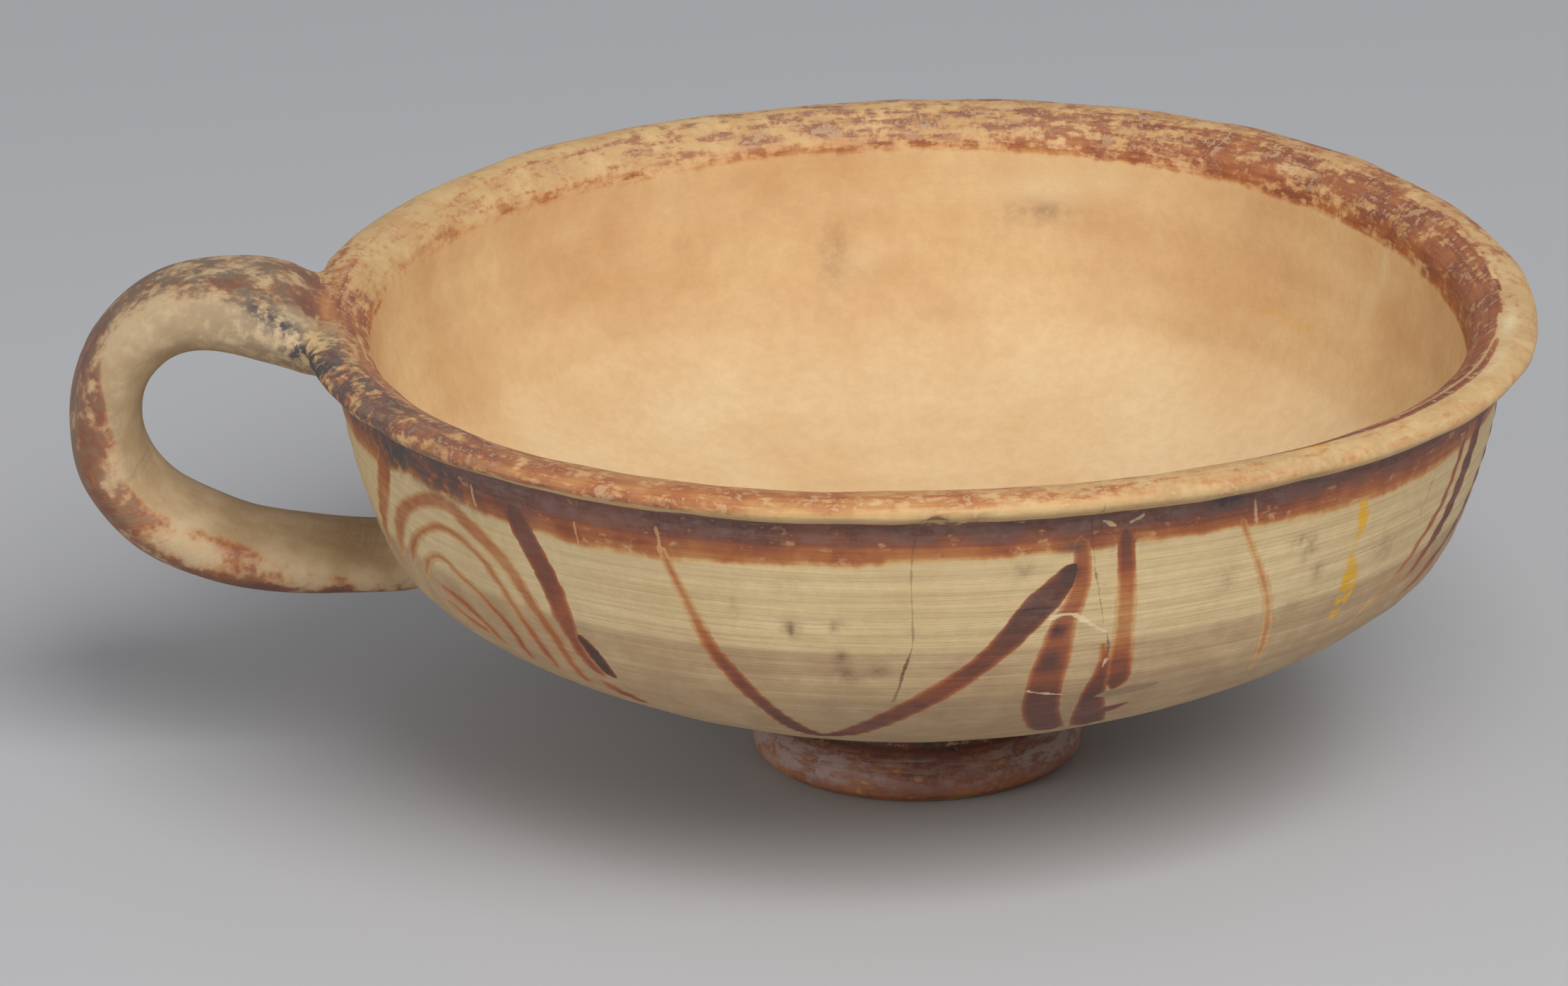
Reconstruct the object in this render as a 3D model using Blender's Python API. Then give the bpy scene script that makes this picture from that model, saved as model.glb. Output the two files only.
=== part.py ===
"""Pottery cup: a shallow wheel-thrown bowl on a small disc foot, with one strap handle.

The clay is one fired body, so the whole cup is one solid. The bowl is turned about the Z axis
and stands on Z = 0, with the axis at X = Y = 0. The handle is pulled out on the -X side.
"""
import math

import bmesh
import bpy
from mathutils import Matrix, Vector

MM = 0.001

# Foot: a solid disc with a rounded edge, cut flat underneath, with a narrower neck above it
FOOT_RADIUS = 17.2 * MM
FOOT_WIDEST_HEIGHT = 1.6 * MM
FOOT_BEVEL = 1.6 * MM
FOOT_BEVEL_ANGLE = math.radians(25.0)
NECK_HEIGHT = 5.9 * MM
NECK_INSET = 2.9 * MM
NECK_COVE = 1.1 * MM
NECK_COVE_HEIGHT = 1.4 * MM

# Bowl: the outer face leaves the neck nearly flat, turns up at the belly and ends under the lip
WALL_THICKNESS = 3.8 * MM
UNDERSIDE_ANGLE = math.radians(15.0)
BELLY_RADIUS = 56.1 * MM
BELLY_HEIGHT = 28.0 * MM
BELLY_ANGLE = math.radians(67.5)
UPPER_WALL_ANGLE = math.radians(84.6)

# Lip: a flattened bead, thrown a little outwards over the top of the wall
LIP_RADIUS = 61.7 * MM
LIP_HEIGHT = 48.85 * MM
LIP_HALF_WIDTH = 2.65 * MM
LIP_HALF_HEIGHT = 1.36 * MM
LIP_OVERHANG = 0.8 * MM
LIP_COVE = 1.0 * MM

# Handle: a strap of oval section that springs from the lip, loops out and returns to the belly
HANDLE_DIRECTION = math.radians(181.5)
HANDLE_REACH = 21.4 * MM
HANDLE_BEND_HEIGHT = 37.8 * MM
HANDLE_ROOT_HEIGHT = 22.8 * MM
HANDLE_SINK = 2.3 * MM
HANDLE_RISE_ANGLE = math.radians(32.0)
HANDLE_ROOT_ANGLE = math.radians(-6.5)
STRAP_WIDTH = 16.4 * MM
STRAP_THICKNESS = 7.4 * MM
STRAP_WIDTH_AT_LIP = 25.6 * MM
STRAP_THICKNESS_AT_LIP = 9.4 * MM
STRAP_WIDTH_AT_ROOT = 14.6 * MM
STRAP_THICKNESS_AT_ROOT = 4.8 * MM

# Hand-made unevenness of the mouth: it leans towards the front and is pressed in by the handle
MOUTH_LEAN = 0.92 * MM
MOUTH_LEAN_DIRECTION = math.radians(101.0)
MOUTH_SADDLE = 0.32 * MM
PRESS_DEPTH = 2.1 * MM
PRESS_DIRECTION = math.radians(158.0)
PRESS_SPREAD = math.radians(31.5)
TWO_LOBES = 0.16 * MM
TWO_LOBES_DIRECTION = math.radians(83.0)
THREE_LOBES = 0.22 * MM
THREE_LOBES_DIRECTION = math.radians(-52.0)
FOUR_LOBES = 0.75 * MM
FOUR_LOBES_DIRECTION = math.radians(-32.5)

# Shape of the curves: how far each end's direction carries, as a share of the curve's own span
FOOT_FULLNESS = 0.72
NECK_PULL = 0.30
UNDERSIDE_PULL = 0.30
BELLY_PULL_BELOW = 0.18
BELLY_PULL_ABOVE = 0.28
WALL_TOP_PULL = 0.40
HANDLE_RISE_PULL = 0.575
HANDLE_BEND_PULL_ABOVE = 0.51
HANDLE_BEND_PULL_BELOW = 0.54
HANDLE_ROOT_PULL = 0.52

# Where the strap's changes fade out, as shares of its length, and how steeply
SPREAD_AT_LIP = 0.26
TAPER_AT_ROOT = 0.45
TIP_LENGTH = 0.10
TIP_ROUNDING = 0.40
UPRIGHT_LENGTH = 0.16
FADE_POWER = 1.6
OVAL_POWER = 0.9

# Fineness of the facets
SEGMENTS = 64
HANDLE_RINGS = 14
HANDLE_SIDES = 20
SHARP_ANGLE = math.radians(50.0)


def clear_scene():
    for item in list(bpy.data.objects):
        bpy.data.objects.remove(item, do_unlink=True)


def along(angle, length):
    return Vector((math.cos(angle), math.sin(angle))) * length


def curve(start, start_pull, end_pull, end, steps):
    """Points of a cubic curve after its start, in (radius, height)."""
    points = []
    for step in range(1, steps + 1):
        t = step / steps
        s = 1.0 - t
        points.append(start * s**3 + start_pull * (3 * s * s * t) + end_pull * (3 * s * t * t) + end * t**3)
    return points


def underside_start():
    """Where the bowl's underside leaves the neck, in (radius, height)."""
    return Vector((FOOT_RADIUS - NECK_INSET + NECK_COVE, NECK_HEIGHT + NECK_COVE_HEIGHT))


def foot_outline():
    """The foot's outer edge, from the standing face up to the bowl's underside."""
    standing = Vector((FOOT_RADIUS - FOOT_BEVEL, 0.0))
    widest = Vector((FOOT_RADIUS, FOOT_WIDEST_HEIGHT))
    neck = Vector((FOOT_RADIUS - NECK_INSET, NECK_HEIGHT))
    underside = underside_start()
    up = Vector((0.0, 1.0))
    edge_pull = FOOT_WIDEST_HEIGHT / 2
    waist = NECK_HEIGHT - FOOT_WIDEST_HEIGHT
    cove_pull = NECK_COVE_HEIGHT / 2
    outline = [standing]
    bevel = along(FOOT_BEVEL_ANGLE, edge_pull)
    cove = along(UNDERSIDE_ANGLE, cove_pull)
    outline += curve(standing, standing + bevel, widest - up * edge_pull, widest, 3)
    outline += curve(widest, widest + up * waist * FOOT_FULLNESS, neck - up * waist * NECK_PULL, neck, 4)
    outline += curve(neck, neck + up * cove_pull, underside - cove, underside, 2)
    return outline


def wall_outline():
    """The bowl's outer face, from the neck over the belly to the top of the wall."""
    underside = underside_start()
    belly = Vector((BELLY_RADIUS, BELLY_HEIGHT))
    wall_top = Vector((LIP_RADIUS - LIP_OVERHANG, LIP_HEIGHT - LIP_HALF_HEIGHT - LIP_COVE))
    lower_span = (belly - underside).length
    upper_span = (wall_top - belly).length
    outline = [underside]
    outline += curve(
        underside,
        underside + along(UNDERSIDE_ANGLE, lower_span * UNDERSIDE_PULL),
        belly - along(BELLY_ANGLE, lower_span * BELLY_PULL_BELOW),
        belly,
        8,
    )
    outline += curve(
        belly,
        belly + along(BELLY_ANGLE, upper_span * BELLY_PULL_ABOVE),
        wall_top - along(UPPER_WALL_ANGLE, upper_span * WALL_TOP_PULL),
        wall_top,
        5,
    )
    return outline


def direction_at(points, index):
    before = points[max(index - 1, 0)]
    after = points[min(index + 1, len(points) - 1)]
    return (after - before).normalized()


def inner_outline(outer):
    """The outer face moved inwards by the wall's thickness, then a dished floor to the axis."""
    inner = []
    for index, point in enumerate(outer):
        direction = direction_at(outer, index)
        inner.append(point + Vector((-direction.y, direction.x)) * WALL_THICKNESS)
    edge = inner[0]
    dish_depth = math.tan(UNDERSIDE_ANGLE) * edge.x / 2
    floor = []
    for share in (0.0, 0.35, 0.7):
        floor.append(Vector((edge.x * share, edge.y - dish_depth * (1.0 - share**2))))
    return floor + inner


def lip_outline():
    """The bead of the lip, from its underside out, over the top and down its inner side."""
    outline = []
    for degrees in (-60, -25, 10, 45, 80, 112, 142):
        angle = math.radians(degrees)
        outline.append(Vector((
            LIP_RADIUS + LIP_HALF_WIDTH * math.cos(angle),
            LIP_HEIGHT + LIP_HALF_HEIGHT * math.sin(angle),
        )))
    return outline


def lobes(count, size, direction, angle):
    return size * math.cos(count * (angle - direction))


def settle(radius, angle, height):
    """Place a turned point, with the unevenness of the hand-made mouth growing towards the lip."""
    share = (height / LIP_HEIGHT) * (radius / LIP_RADIUS)
    turn = math.remainder(angle - PRESS_DIRECTION, 2 * math.pi)
    out = lobes(2, TWO_LOBES, TWO_LOBES_DIRECTION, angle)
    out += lobes(3, THREE_LOBES, THREE_LOBES_DIRECTION, angle)
    out += lobes(4, FOUR_LOBES, FOUR_LOBES_DIRECTION, angle)
    out -= PRESS_DEPTH * math.exp(-((turn / PRESS_SPREAD) ** 2))
    up = lobes(1, MOUTH_LEAN, MOUTH_LEAN_DIRECTION, angle) - lobes(2, MOUTH_SADDLE, 0.0, angle)
    uneven_radius = radius + out * share
    return Vector((uneven_radius * math.cos(angle), uneven_radius * math.sin(angle), height + up * share))


def make_bowl(name):
    """Turn the whole outline, outside and inside, into one closed body."""
    outer = wall_outline()
    inner = inner_outline(outer)
    outline = foot_outline() + outer[1:] + lip_outline() + inner[:0:-1]
    floor_centre = inner[0]

    model = bmesh.new()
    rings = []
    for point in outline:
        ring = []
        for segment in range(SEGMENTS):
            angle = 2 * math.pi * segment / SEGMENTS
            ring.append(model.verts.new(settle(point.x, angle, point.y)))
        rings.append(ring)
    for lower, upper in zip(rings, rings[1:]):
        for segment in range(SEGMENTS):
            following = (segment + 1) % SEGMENTS
            model.faces.new((lower[segment], lower[following], upper[following], upper[segment]))
    model.faces.new(reversed(rings[0]))
    centre = model.verts.new(settle(floor_centre.x, 0.0, floor_centre.y))
    for segment in range(SEGMENTS):
        following = (segment + 1) % SEGMENTS
        model.faces.new((rings[-1][segment], rings[-1][following], centre))
    return finish_mesh(model, name)


def middle_of_wall(height):
    """Distance from the axis to the middle of the bowl's wall at a height on the belly."""
    outer = wall_outline()
    inner = inner_outline(outer)[-len(outer):]
    middle = [(outside + inside) / 2 for outside, inside in zip(outer, inner)]
    height = min(max(height, middle[0].y), middle[-1].y)
    for low, high in zip(middle, middle[1:]):
        if height <= high.y:
            break
    return low.x + (high.x - low.x) * (height - low.y) / (high.y - low.y)


def handle_path():
    """The strap's middle line in (distance from the axis, height), from the lip to the belly."""
    lip = settle(LIP_RADIUS, HANDLE_DIRECTION, LIP_HEIGHT)
    start = Vector((lip.xy.length, lip.z - HANDLE_SINK))
    bend = Vector((LIP_RADIUS + HANDLE_REACH, HANDLE_BEND_HEIGHT))
    root = Vector((middle_of_wall(HANDLE_ROOT_HEIGHT), HANDLE_ROOT_HEIGHT))
    drop = Vector((0.0, start.y - root.y))
    points = [start]
    points += curve(
        start,
        start + along(HANDLE_RISE_ANGLE, (bend.x - start.x) * HANDLE_RISE_PULL),
        bend + drop * HANDLE_BEND_PULL_ABOVE,
        bend,
        HANDLE_RINGS,
    )
    points += curve(
        bend,
        bend - drop * HANDLE_BEND_PULL_BELOW,
        root + along(HANDLE_ROOT_ANGLE, (bend.x - root.x) * HANDLE_ROOT_PULL),
        root,
        HANDLE_RINGS,
    )
    return points


def fading(share, reach):
    """One at the strap's end, falling smoothly to nothing at the given share of its length."""
    return max(0.0, 1.0 - share / reach) ** FADE_POWER


def strap_sizes(share):
    """The strap's half width and half thickness at a share of its way from the lip to the belly.

    It spreads towards the lip and thins towards its root. Its tip is rounded off inside the lip.
    """
    near_lip = fading(share, SPREAD_AT_LIP)
    near_root = fading(1.0 - share, TAPER_AT_ROOT)
    width = STRAP_WIDTH
    width += (STRAP_WIDTH_AT_LIP - STRAP_WIDTH) * near_lip
    width += (STRAP_WIDTH_AT_ROOT - STRAP_WIDTH) * near_root
    thickness = STRAP_THICKNESS
    thickness += (STRAP_THICKNESS_AT_LIP - STRAP_THICKNESS) * near_lip
    thickness += (STRAP_THICKNESS_AT_ROOT - STRAP_THICKNESS) * near_root
    thickness *= 1.0 - TIP_ROUNDING * fading(share, TIP_LENGTH)
    return width / 2, thickness / 2


def oval(value):
    """A cosine or sine, flattened a little towards a rounded rectangle."""
    return math.copysign(abs(value) ** OVAL_POWER, value)


def strap_ring(point, direction, half_width, half_thickness, wrap):
    """One oval section, square to the path, wrapped round the mouth by the given share."""
    normal = Vector((-direction.y, direction.x))
    ring = []
    for side in range(HANDLE_SIDES):
        angle = 2 * math.pi * side / HANDLE_SIDES
        across = half_width * oval(math.cos(angle))
        depth = half_thickness * oval(math.sin(angle))
        out = point.x + normal.x * depth
        round_mouth = point.x - math.sqrt(max(point.x**2 - across**2, 0.0))
        ring.append(Vector((out - wrap * round_mouth, across, point.y + normal.y * depth)))
    return ring


def make_handle(name):
    """Sweep the oval strap along its path, with both ends buried in the clay of the wall."""
    path = handle_path()
    outwards = Vector((1.0, 0.0))
    sections = []
    for index, point in enumerate(path):
        share = index / (len(path) - 1)
        upright = fading(share, UPRIGHT_LENGTH)
        direction = direction_at(path, index).lerp(outwards, upright).normalized()
        half_width, half_thickness = strap_sizes(share)
        wrap = fading(share, SPREAD_AT_LIP)
        sections.append(strap_ring(point, direction, half_width, half_thickness, wrap))

    # The end in the belly follows the middle of the wall, so that it never breaks through inside
    for corner in sections[-1]:
        seat = middle_of_wall(corner.z)
        corner.x = math.sqrt(max(seat**2 - corner.y**2, 0.0))

    model = bmesh.new()
    turn = Matrix.Rotation(HANDLE_DIRECTION, 4, "Z")
    rings = []
    for section in sections:
        rings.append([model.verts.new(turn @ corner) for corner in section])
    for lower, upper in zip(rings, rings[1:]):
        for side in range(HANDLE_SIDES):
            following = (side + 1) % HANDLE_SIDES
            model.faces.new((lower[side], lower[following], upper[following], upper[side]))
    model.faces.new(reversed(rings[0]))
    model.faces.new(rings[-1])
    return finish_mesh(model, name)


def finish_mesh(model, name):
    bmesh.ops.triangulate(model, faces=[face for face in model.faces if len(face.verts) > 4])
    bmesh.ops.recalc_face_normals(model, faces=model.faces)
    mesh = bpy.data.meshes.new(name)
    model.to_mesh(mesh)
    model.free()
    mesh.shade_smooth()
    mesh.set_sharp_from_angle(angle=SHARP_ANGLE)
    item = bpy.data.objects.new(name, mesh)
    bpy.context.collection.objects.link(item)
    return item


def fired_clay():
    """Buff earthenware with a smoothed, slightly lustrous slip."""
    clay = bpy.data.materials.new("fired_clay")
    clay.use_nodes = True
    shader = clay.node_tree.nodes["Principled BSDF"]
    shader.inputs["Base Color"].default_value = (0.62, 0.42, 0.25, 1.0)
    shader.inputs["Roughness"].default_value = 0.55
    shader.inputs["Metallic"].default_value = 0.0
    return clay


def make_cup():
    cup = make_bowl("cup")
    cup.data.materials.append(fired_clay())
    strap = make_handle("strap_shape")
    strap.hide_render = True
    strap.display_type = "WIRE"
    joint = cup.modifiers.new("handle_joined", "BOOLEAN")
    joint.operation = "UNION"
    joint.solver = "EXACT"
    joint.object = strap


clear_scene()
make_cup()
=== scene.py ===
"""Painted pottery cup, dressed for its studio picture.

The cup is one fired piece: a wheel-thrown bowl on a disc foot, with a rolled lip and one strap
handle. Its skin is worked out in millimetres and degrees, and turned into metres when it is made.
Places on the turned body are an azimuth round the axis and a distance down the outer wall.
"""
import math

import bmesh
import bpy
import numpy as np
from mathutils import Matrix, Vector, noise
from mathutils.bvhtree import BVHTree
from mathutils.kdtree import KDTree


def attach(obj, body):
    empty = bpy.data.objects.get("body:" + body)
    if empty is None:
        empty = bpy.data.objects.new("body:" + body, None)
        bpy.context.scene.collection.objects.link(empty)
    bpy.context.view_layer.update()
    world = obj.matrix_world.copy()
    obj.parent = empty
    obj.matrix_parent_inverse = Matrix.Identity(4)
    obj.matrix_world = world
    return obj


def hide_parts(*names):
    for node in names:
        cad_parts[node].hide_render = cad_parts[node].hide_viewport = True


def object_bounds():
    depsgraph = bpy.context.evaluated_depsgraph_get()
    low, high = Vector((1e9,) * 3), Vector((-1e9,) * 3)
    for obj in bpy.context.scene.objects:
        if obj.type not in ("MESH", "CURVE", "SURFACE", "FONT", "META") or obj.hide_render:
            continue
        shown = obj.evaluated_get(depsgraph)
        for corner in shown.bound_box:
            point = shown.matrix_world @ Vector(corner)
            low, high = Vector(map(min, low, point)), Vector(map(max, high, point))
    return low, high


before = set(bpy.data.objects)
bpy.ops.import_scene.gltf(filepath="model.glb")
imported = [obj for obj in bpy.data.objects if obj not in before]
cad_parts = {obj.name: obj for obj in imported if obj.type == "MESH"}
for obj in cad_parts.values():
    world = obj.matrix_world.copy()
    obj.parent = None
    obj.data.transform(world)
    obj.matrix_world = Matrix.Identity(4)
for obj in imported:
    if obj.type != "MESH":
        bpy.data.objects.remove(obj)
cad_low, cad_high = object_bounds()
MM = 0.001

# The foot: a small solid disc of clay, turned on the wheel as the bowl's base and cut flat below.
# Its edge is rounded by the thumb, and a narrower neck above it meets the bowl's underside.
FOOT_RADIUS = 17.2
FOOT_WIDEST_HEIGHT = 1.6
FOOT_BEVEL = 1.6
FOOT_BEVEL_ANGLE = 25.0
FOOT_FULLNESS = 0.72
NECK_HEIGHT = 5.9
NECK_PULL = 0.30
NECK_RADIUS = FOOT_RADIUS - 2.9
COVE_RADIUS = NECK_RADIUS + 1.1
COVE_HEIGHT = NECK_HEIGHT + 1.4
UNDERSIDE_ANGLE = 15.0


def place(radius, height):
    return np.array([radius, height])


def toward(degrees, length):
    return length * np.array([math.cos(math.radians(degrees)), math.sin(math.radians(degrees))])


def curve(start, start_pull, end_pull, end, steps=120):
    """A cubic curve between two points, pulled away from each in its own direction."""
    t = np.linspace(0.0, 1.0, steps)[:, None]
    s = 1.0 - t
    return s**3 * start + 3 * s * s * t * start_pull + 3 * s * t * t * end_pull + t**3 * end


def foot_edge():
    standing = place(FOOT_RADIUS - FOOT_BEVEL, 0.0)
    widest = place(FOOT_RADIUS, FOOT_WIDEST_HEIGHT)
    neck = place(NECK_RADIUS, NECK_HEIGHT)
    cove = place(COVE_RADIUS, COVE_HEIGHT)
    edge_pull = FOOT_WIDEST_HEIGHT / 2
    waist = toward(90.0, NECK_HEIGHT - FOOT_WIDEST_HEIGHT)
    cove_pull = (COVE_HEIGHT - NECK_HEIGHT) / 2
    bevel = toward(FOOT_BEVEL_ANGLE, edge_pull)
    rounded = curve(standing, standing + bevel, widest - toward(90.0, edge_pull), widest)
    face = curve(widest, widest + waist * FOOT_FULLNESS, neck - waist * NECK_PULL, neck)
    flare = toward(UNDERSIDE_ANGLE, cove_pull)
    hollow = curve(neck, neck + toward(90.0, cove_pull), cove - flare, cove)
    return np.vstack((rounded, face[1:], hollow[1:]))


standing_face = np.linspace(place(0.9, 0.0), place(FOOT_RADIUS - FOOT_BEVEL, 0.0), 40)
foot_outline = foot_edge()

# The bowl: one thrown wall of buff clay, nearly four millimetres thick. Its outer face leaves the
# neck nearly level, turns up at the belly and ends under the lip; the floor inside is dished.
WALL_THICKNESS = 3.8
BELLY = place(56.1, 28.0)
BELLY_ANGLE = 67.5
UPPER_WALL_ANGLE = 84.6
UNDERSIDE_PULL = 0.30
BELLY_PULL_BELOW = 0.18
BELLY_PULL_ABOVE = 0.28
WALL_TOP_PULL = 0.40
LIP_RADIUS = 61.7
LIP_HEIGHT = 48.85
LIP_HALF_WIDTH = 2.62
LIP_HALF_HEIGHT = 1.34
LIP_OVERHANG = 0.8
LIP_COVE = 1.0
FINE_COLUMNS = 540
COARSE_COLUMNS = FINE_COLUMNS // 2
FINE_FROM_RADIUS = 32.0


def travelled(points):
    """How far along a line each of its points lies."""
    steps = np.linalg.norm(np.diff(points, axis=0), axis=1)
    return np.concatenate(([0.0], np.cumsum(steps)))


def evenly(points, gap):
    """The same line with its points about one gap apart."""
    length = travelled(points)
    stops = np.linspace(0.0, length[-1], max(2, round(length[-1] / gap) + 1))
    return np.column_stack([np.interp(stops, length, column) for column in points.T])


def outer_wall():
    underside = place(COVE_RADIUS, COVE_HEIGHT)
    top = place(LIP_RADIUS - LIP_OVERHANG, LIP_HEIGHT - LIP_HALF_HEIGHT - LIP_COVE)
    lower_span = np.linalg.norm(BELLY - underside)
    upper_span = np.linalg.norm(top - BELLY)
    lower = curve(
        underside,
        underside + toward(UNDERSIDE_ANGLE, lower_span * UNDERSIDE_PULL),
        BELLY - toward(BELLY_ANGLE, lower_span * BELLY_PULL_BELOW),
        BELLY,
    )
    upper = curve(
        BELLY,
        BELLY + toward(BELLY_ANGLE, upper_span * BELLY_PULL_ABOVE),
        top - toward(UPPER_WALL_ANGLE, upper_span * WALL_TOP_PULL),
        top,
    )
    return np.vstack((lower, upper[1:]))


def inner_wall(outer):
    """The outer wall moved inwards by its thickness, from the floor's edge up."""
    along = np.gradient(outer, axis=0)
    along /= np.linalg.norm(along, axis=1, keepdims=True)
    return outer + WALL_THICKNESS * np.column_stack((-along[:, 1], along[:, 0]))


def dished_floor(edge):
    """The floor from the axis out to the foot of the inner wall."""
    share = np.linspace(0.02, 1.0, 80)
    dish = math.tan(math.radians(UNDERSIDE_ANGLE)) * edge[0] / 2
    return np.column_stack((edge[0] * share, edge[1] - dish * (1.0 - share**2)))


wall = outer_wall()
inside = inner_wall(wall)
floor_inside = dished_floor(inside[0])

# The lip: the rim's clay rolled outwards into a flattened bead, with a crease below it outside and
# a soft shoulder down to the inner wall.
LIP_STARTS_AT = -60.0
LIP_ENDS_AT = 142.0
SHOULDER_ANGLE = 213.0
SHOULDER_PULL = 1.4
turn = np.radians(np.linspace(LIP_STARTS_AT, LIP_ENDS_AT, 80))
lip = np.column_stack((
    LIP_RADIUS + LIP_HALF_WIDTH * np.cos(turn),
    LIP_HEIGHT + LIP_HALF_HEIGHT * np.sin(turn),
))
shoulder = curve(
    lip[-1],
    lip[-1] + toward(SHOULDER_ANGLE, SHOULDER_PULL),
    inside[-1] + toward(UPPER_WALL_ANGLE, SHOULDER_PULL),
    inside[-1],
    30,
)

# The mouth as the potter left it: leaning towards the front, pressed in beside the handle and
# a little out of round. The unevenness grows from nothing at the foot. A lobe has a count round
# the mouth, a size and an azimuth.
MOUTH_LOBES = ((2, 0.16, 83.0), (3, 0.22, -52.0), (4, 0.75, -32.5))
MOUTH_LEAN = 0.92
MOUTH_LEAN_AZIMUTH = 101.0
MOUTH_SADDLE = 0.32
PRESS_DEPTH = 2.1
PRESS_AZIMUTH = 158.0
PRESS_SPREAD = 31.5


def lobes(count, size, azimuth, angle):
    return size * np.cos(count * (angle - math.radians(azimuth)))


def apart(angle, other):
    """The shorter way round from one angle to another, in radians."""
    return (angle - other + np.pi) % (2 * np.pi) - np.pi


def unevenness(angle):
    """How far the mouth stands out and up at each angle."""
    press = apart(angle, math.radians(PRESS_AZIMUTH)) / math.radians(PRESS_SPREAD)
    out = sum(lobes(*lobe, angle) for lobe in MOUTH_LOBES)
    out = out - PRESS_DEPTH * np.exp(-(press**2))
    up = lobes(1, MOUTH_LEAN, MOUTH_LEAN_AZIMUTH, angle) - lobes(2, MOUTH_SADDLE, 0.0, angle)
    return out, up


def settle(radius, angle, height):
    out, up = unevenness(angle)
    share = (height / LIP_HEIGHT) * (radius / LIP_RADIUS)
    reach = radius + out * share
    return np.column_stack((reach * np.cos(angle), reach * np.sin(angle), height + up * share))


def unsettle(points):
    """Where points of the settled body were on the wheel: radius, angle and height."""
    angle = np.arctan2(points[:, 1], points[:, 0])
    out, up = unevenness(angle)
    reach = np.hypot(points[:, 0], points[:, 1])
    radius = reach
    height = points[:, 2]
    for _ in range(6):
        share = (height / LIP_HEIGHT) * (radius / LIP_RADIUS)
        radius = reach - out * share
        height = points[:, 2] - up * share
    return radius, angle, height


def between_rings(lower, upper):
    """Faces between two rings of points, one of which may have twice as many as the other."""
    faces = []
    if len(lower) == len(upper):
        for here in range(len(lower)):
            after = (here + 1) % len(lower)
            faces.append((lower[here], lower[after], upper[after], upper[here]))
        return faces
    flip = len(lower) > len(upper)
    coarse, fine = (upper, lower) if flip else (lower, upper)
    for here in range(len(coarse)):
        after = (here + 1) % len(coarse)
        first, middle, last = fine[2 * here], fine[2 * here + 1], fine[(2 * here + 2) % len(fine)]
        for face in (
            (coarse[here], middle, first),
            (coarse[here], coarse[after], middle),
            (coarse[after], last, middle),
        ):
            faces.append(face[::-1] if flip else face)
    return faces


def thrown_body():
    """Turn the whole outline, from the middle of the foot to the middle of the floor."""
    split = np.searchsorted(wall[:, 0], FINE_FROM_RADIUS)
    # Each stretch of the outline, the gap between its rings, and its points round the axis
    stretches = (
        (standing_face, 1.1, COARSE_COLUMNS),
        (foot_outline, 0.5, COARSE_COLUMNS),
        (wall[:split], 0.75, COARSE_COLUMNS),
        (wall[split:], 0.62, FINE_COLUMNS),
        (lip, 0.38, FINE_COLUMNS),
        (shoulder, 0.6, FINE_COLUMNS),
        (inside[::-1], 1.1, COARSE_COLUMNS),
        (floor_inside[::-1], 1.6, COARSE_COLUMNS),
    )
    points = [np.zeros((1, 3))]
    rings = []
    count = 1
    last = np.zeros(2)
    for line, gap, columns in stretches:
        line = evenly(line, gap)
        shares_start = np.allclose(line[0], last)
        last = line[-1]
        for radius, height in line[1:] if shares_start else line:
            angle = np.arange(columns) * 2 * np.pi / columns
            points.append(settle(radius, angle, height))
            rings.append(list(range(count, count + columns)))
            count += columns
    points.append(settle(0.0, np.zeros(1), floor_inside[0, 1]))
    faces = []
    for lower, upper in zip(rings, rings[1:]):
        faces += between_rings(lower, upper)
    for here in range(COARSE_COLUMNS):
        after = (here + 1) % COARSE_COLUMNS
        faces.append((0, rings[0][after], rings[0][here]))
        faces.append((count, rings[-1][here], rings[-1][after]))
    return np.vstack(points), faces


def clay_piece(name, points, faces):
    """An object made of points in millimetres."""
    mesh = bpy.data.meshes.new(name)
    mesh.from_pydata((points * MM).tolist(), [], faces)
    mesh.update()
    item = bpy.data.objects.new(name, mesh)
    bpy.context.collection.objects.link(item)
    return item


bowl_points, bowl_faces = thrown_body()
bowl = clay_piece("thrown_bowl", bowl_points, bowl_faces)

# The handle: one pulled strap of clay, oval in section. It springs from the lip, loops out and
# returns to the belly, and both its ends are pressed into the wall while the clay is wet.
HANDLE_AZIMUTH = 181.5
HANDLE_REACH = 21.4
HANDLE_BEND_HEIGHT = 37.8
HANDLE_ROOT_HEIGHT = 22.8
HANDLE_SINK = 2.3
HANDLE_RINGS = 130
HANDLE_SIDES = 48
HANDLE_RISE_ANGLE = 32.0
HANDLE_RISE_PULL = 0.575
HANDLE_BEND_PULL_ABOVE = 0.51
HANDLE_BEND_PULL_BELOW = 0.54
HANDLE_ROOT_ANGLE = -6.5
HANDLE_ROOT_PULL = 0.52
STRAP_WIDTH = 16.4
STRAP_THICKNESS = 7.4
STRAP_WIDTH_AT_LIP = 25.6
STRAP_THICKNESS_AT_LIP = 9.4
STRAP_WIDTH_AT_ROOT = 14.6
STRAP_THICKNESS_AT_ROOT = 4.8
SPREAD_AT_LIP = 0.26
TAPER_AT_ROOT = 0.45
TIP_LENGTH = 0.10
TIP_ROUNDING = 0.40
UPRIGHT_LENGTH = 0.16
FADE_POWER = 1.6
OVAL_POWER = 0.9

middle_of_wall = (wall + inside) / 2


def wall_middle_at(height):
    return np.interp(height, middle_of_wall[:, 1], middle_of_wall[:, 0])


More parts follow.
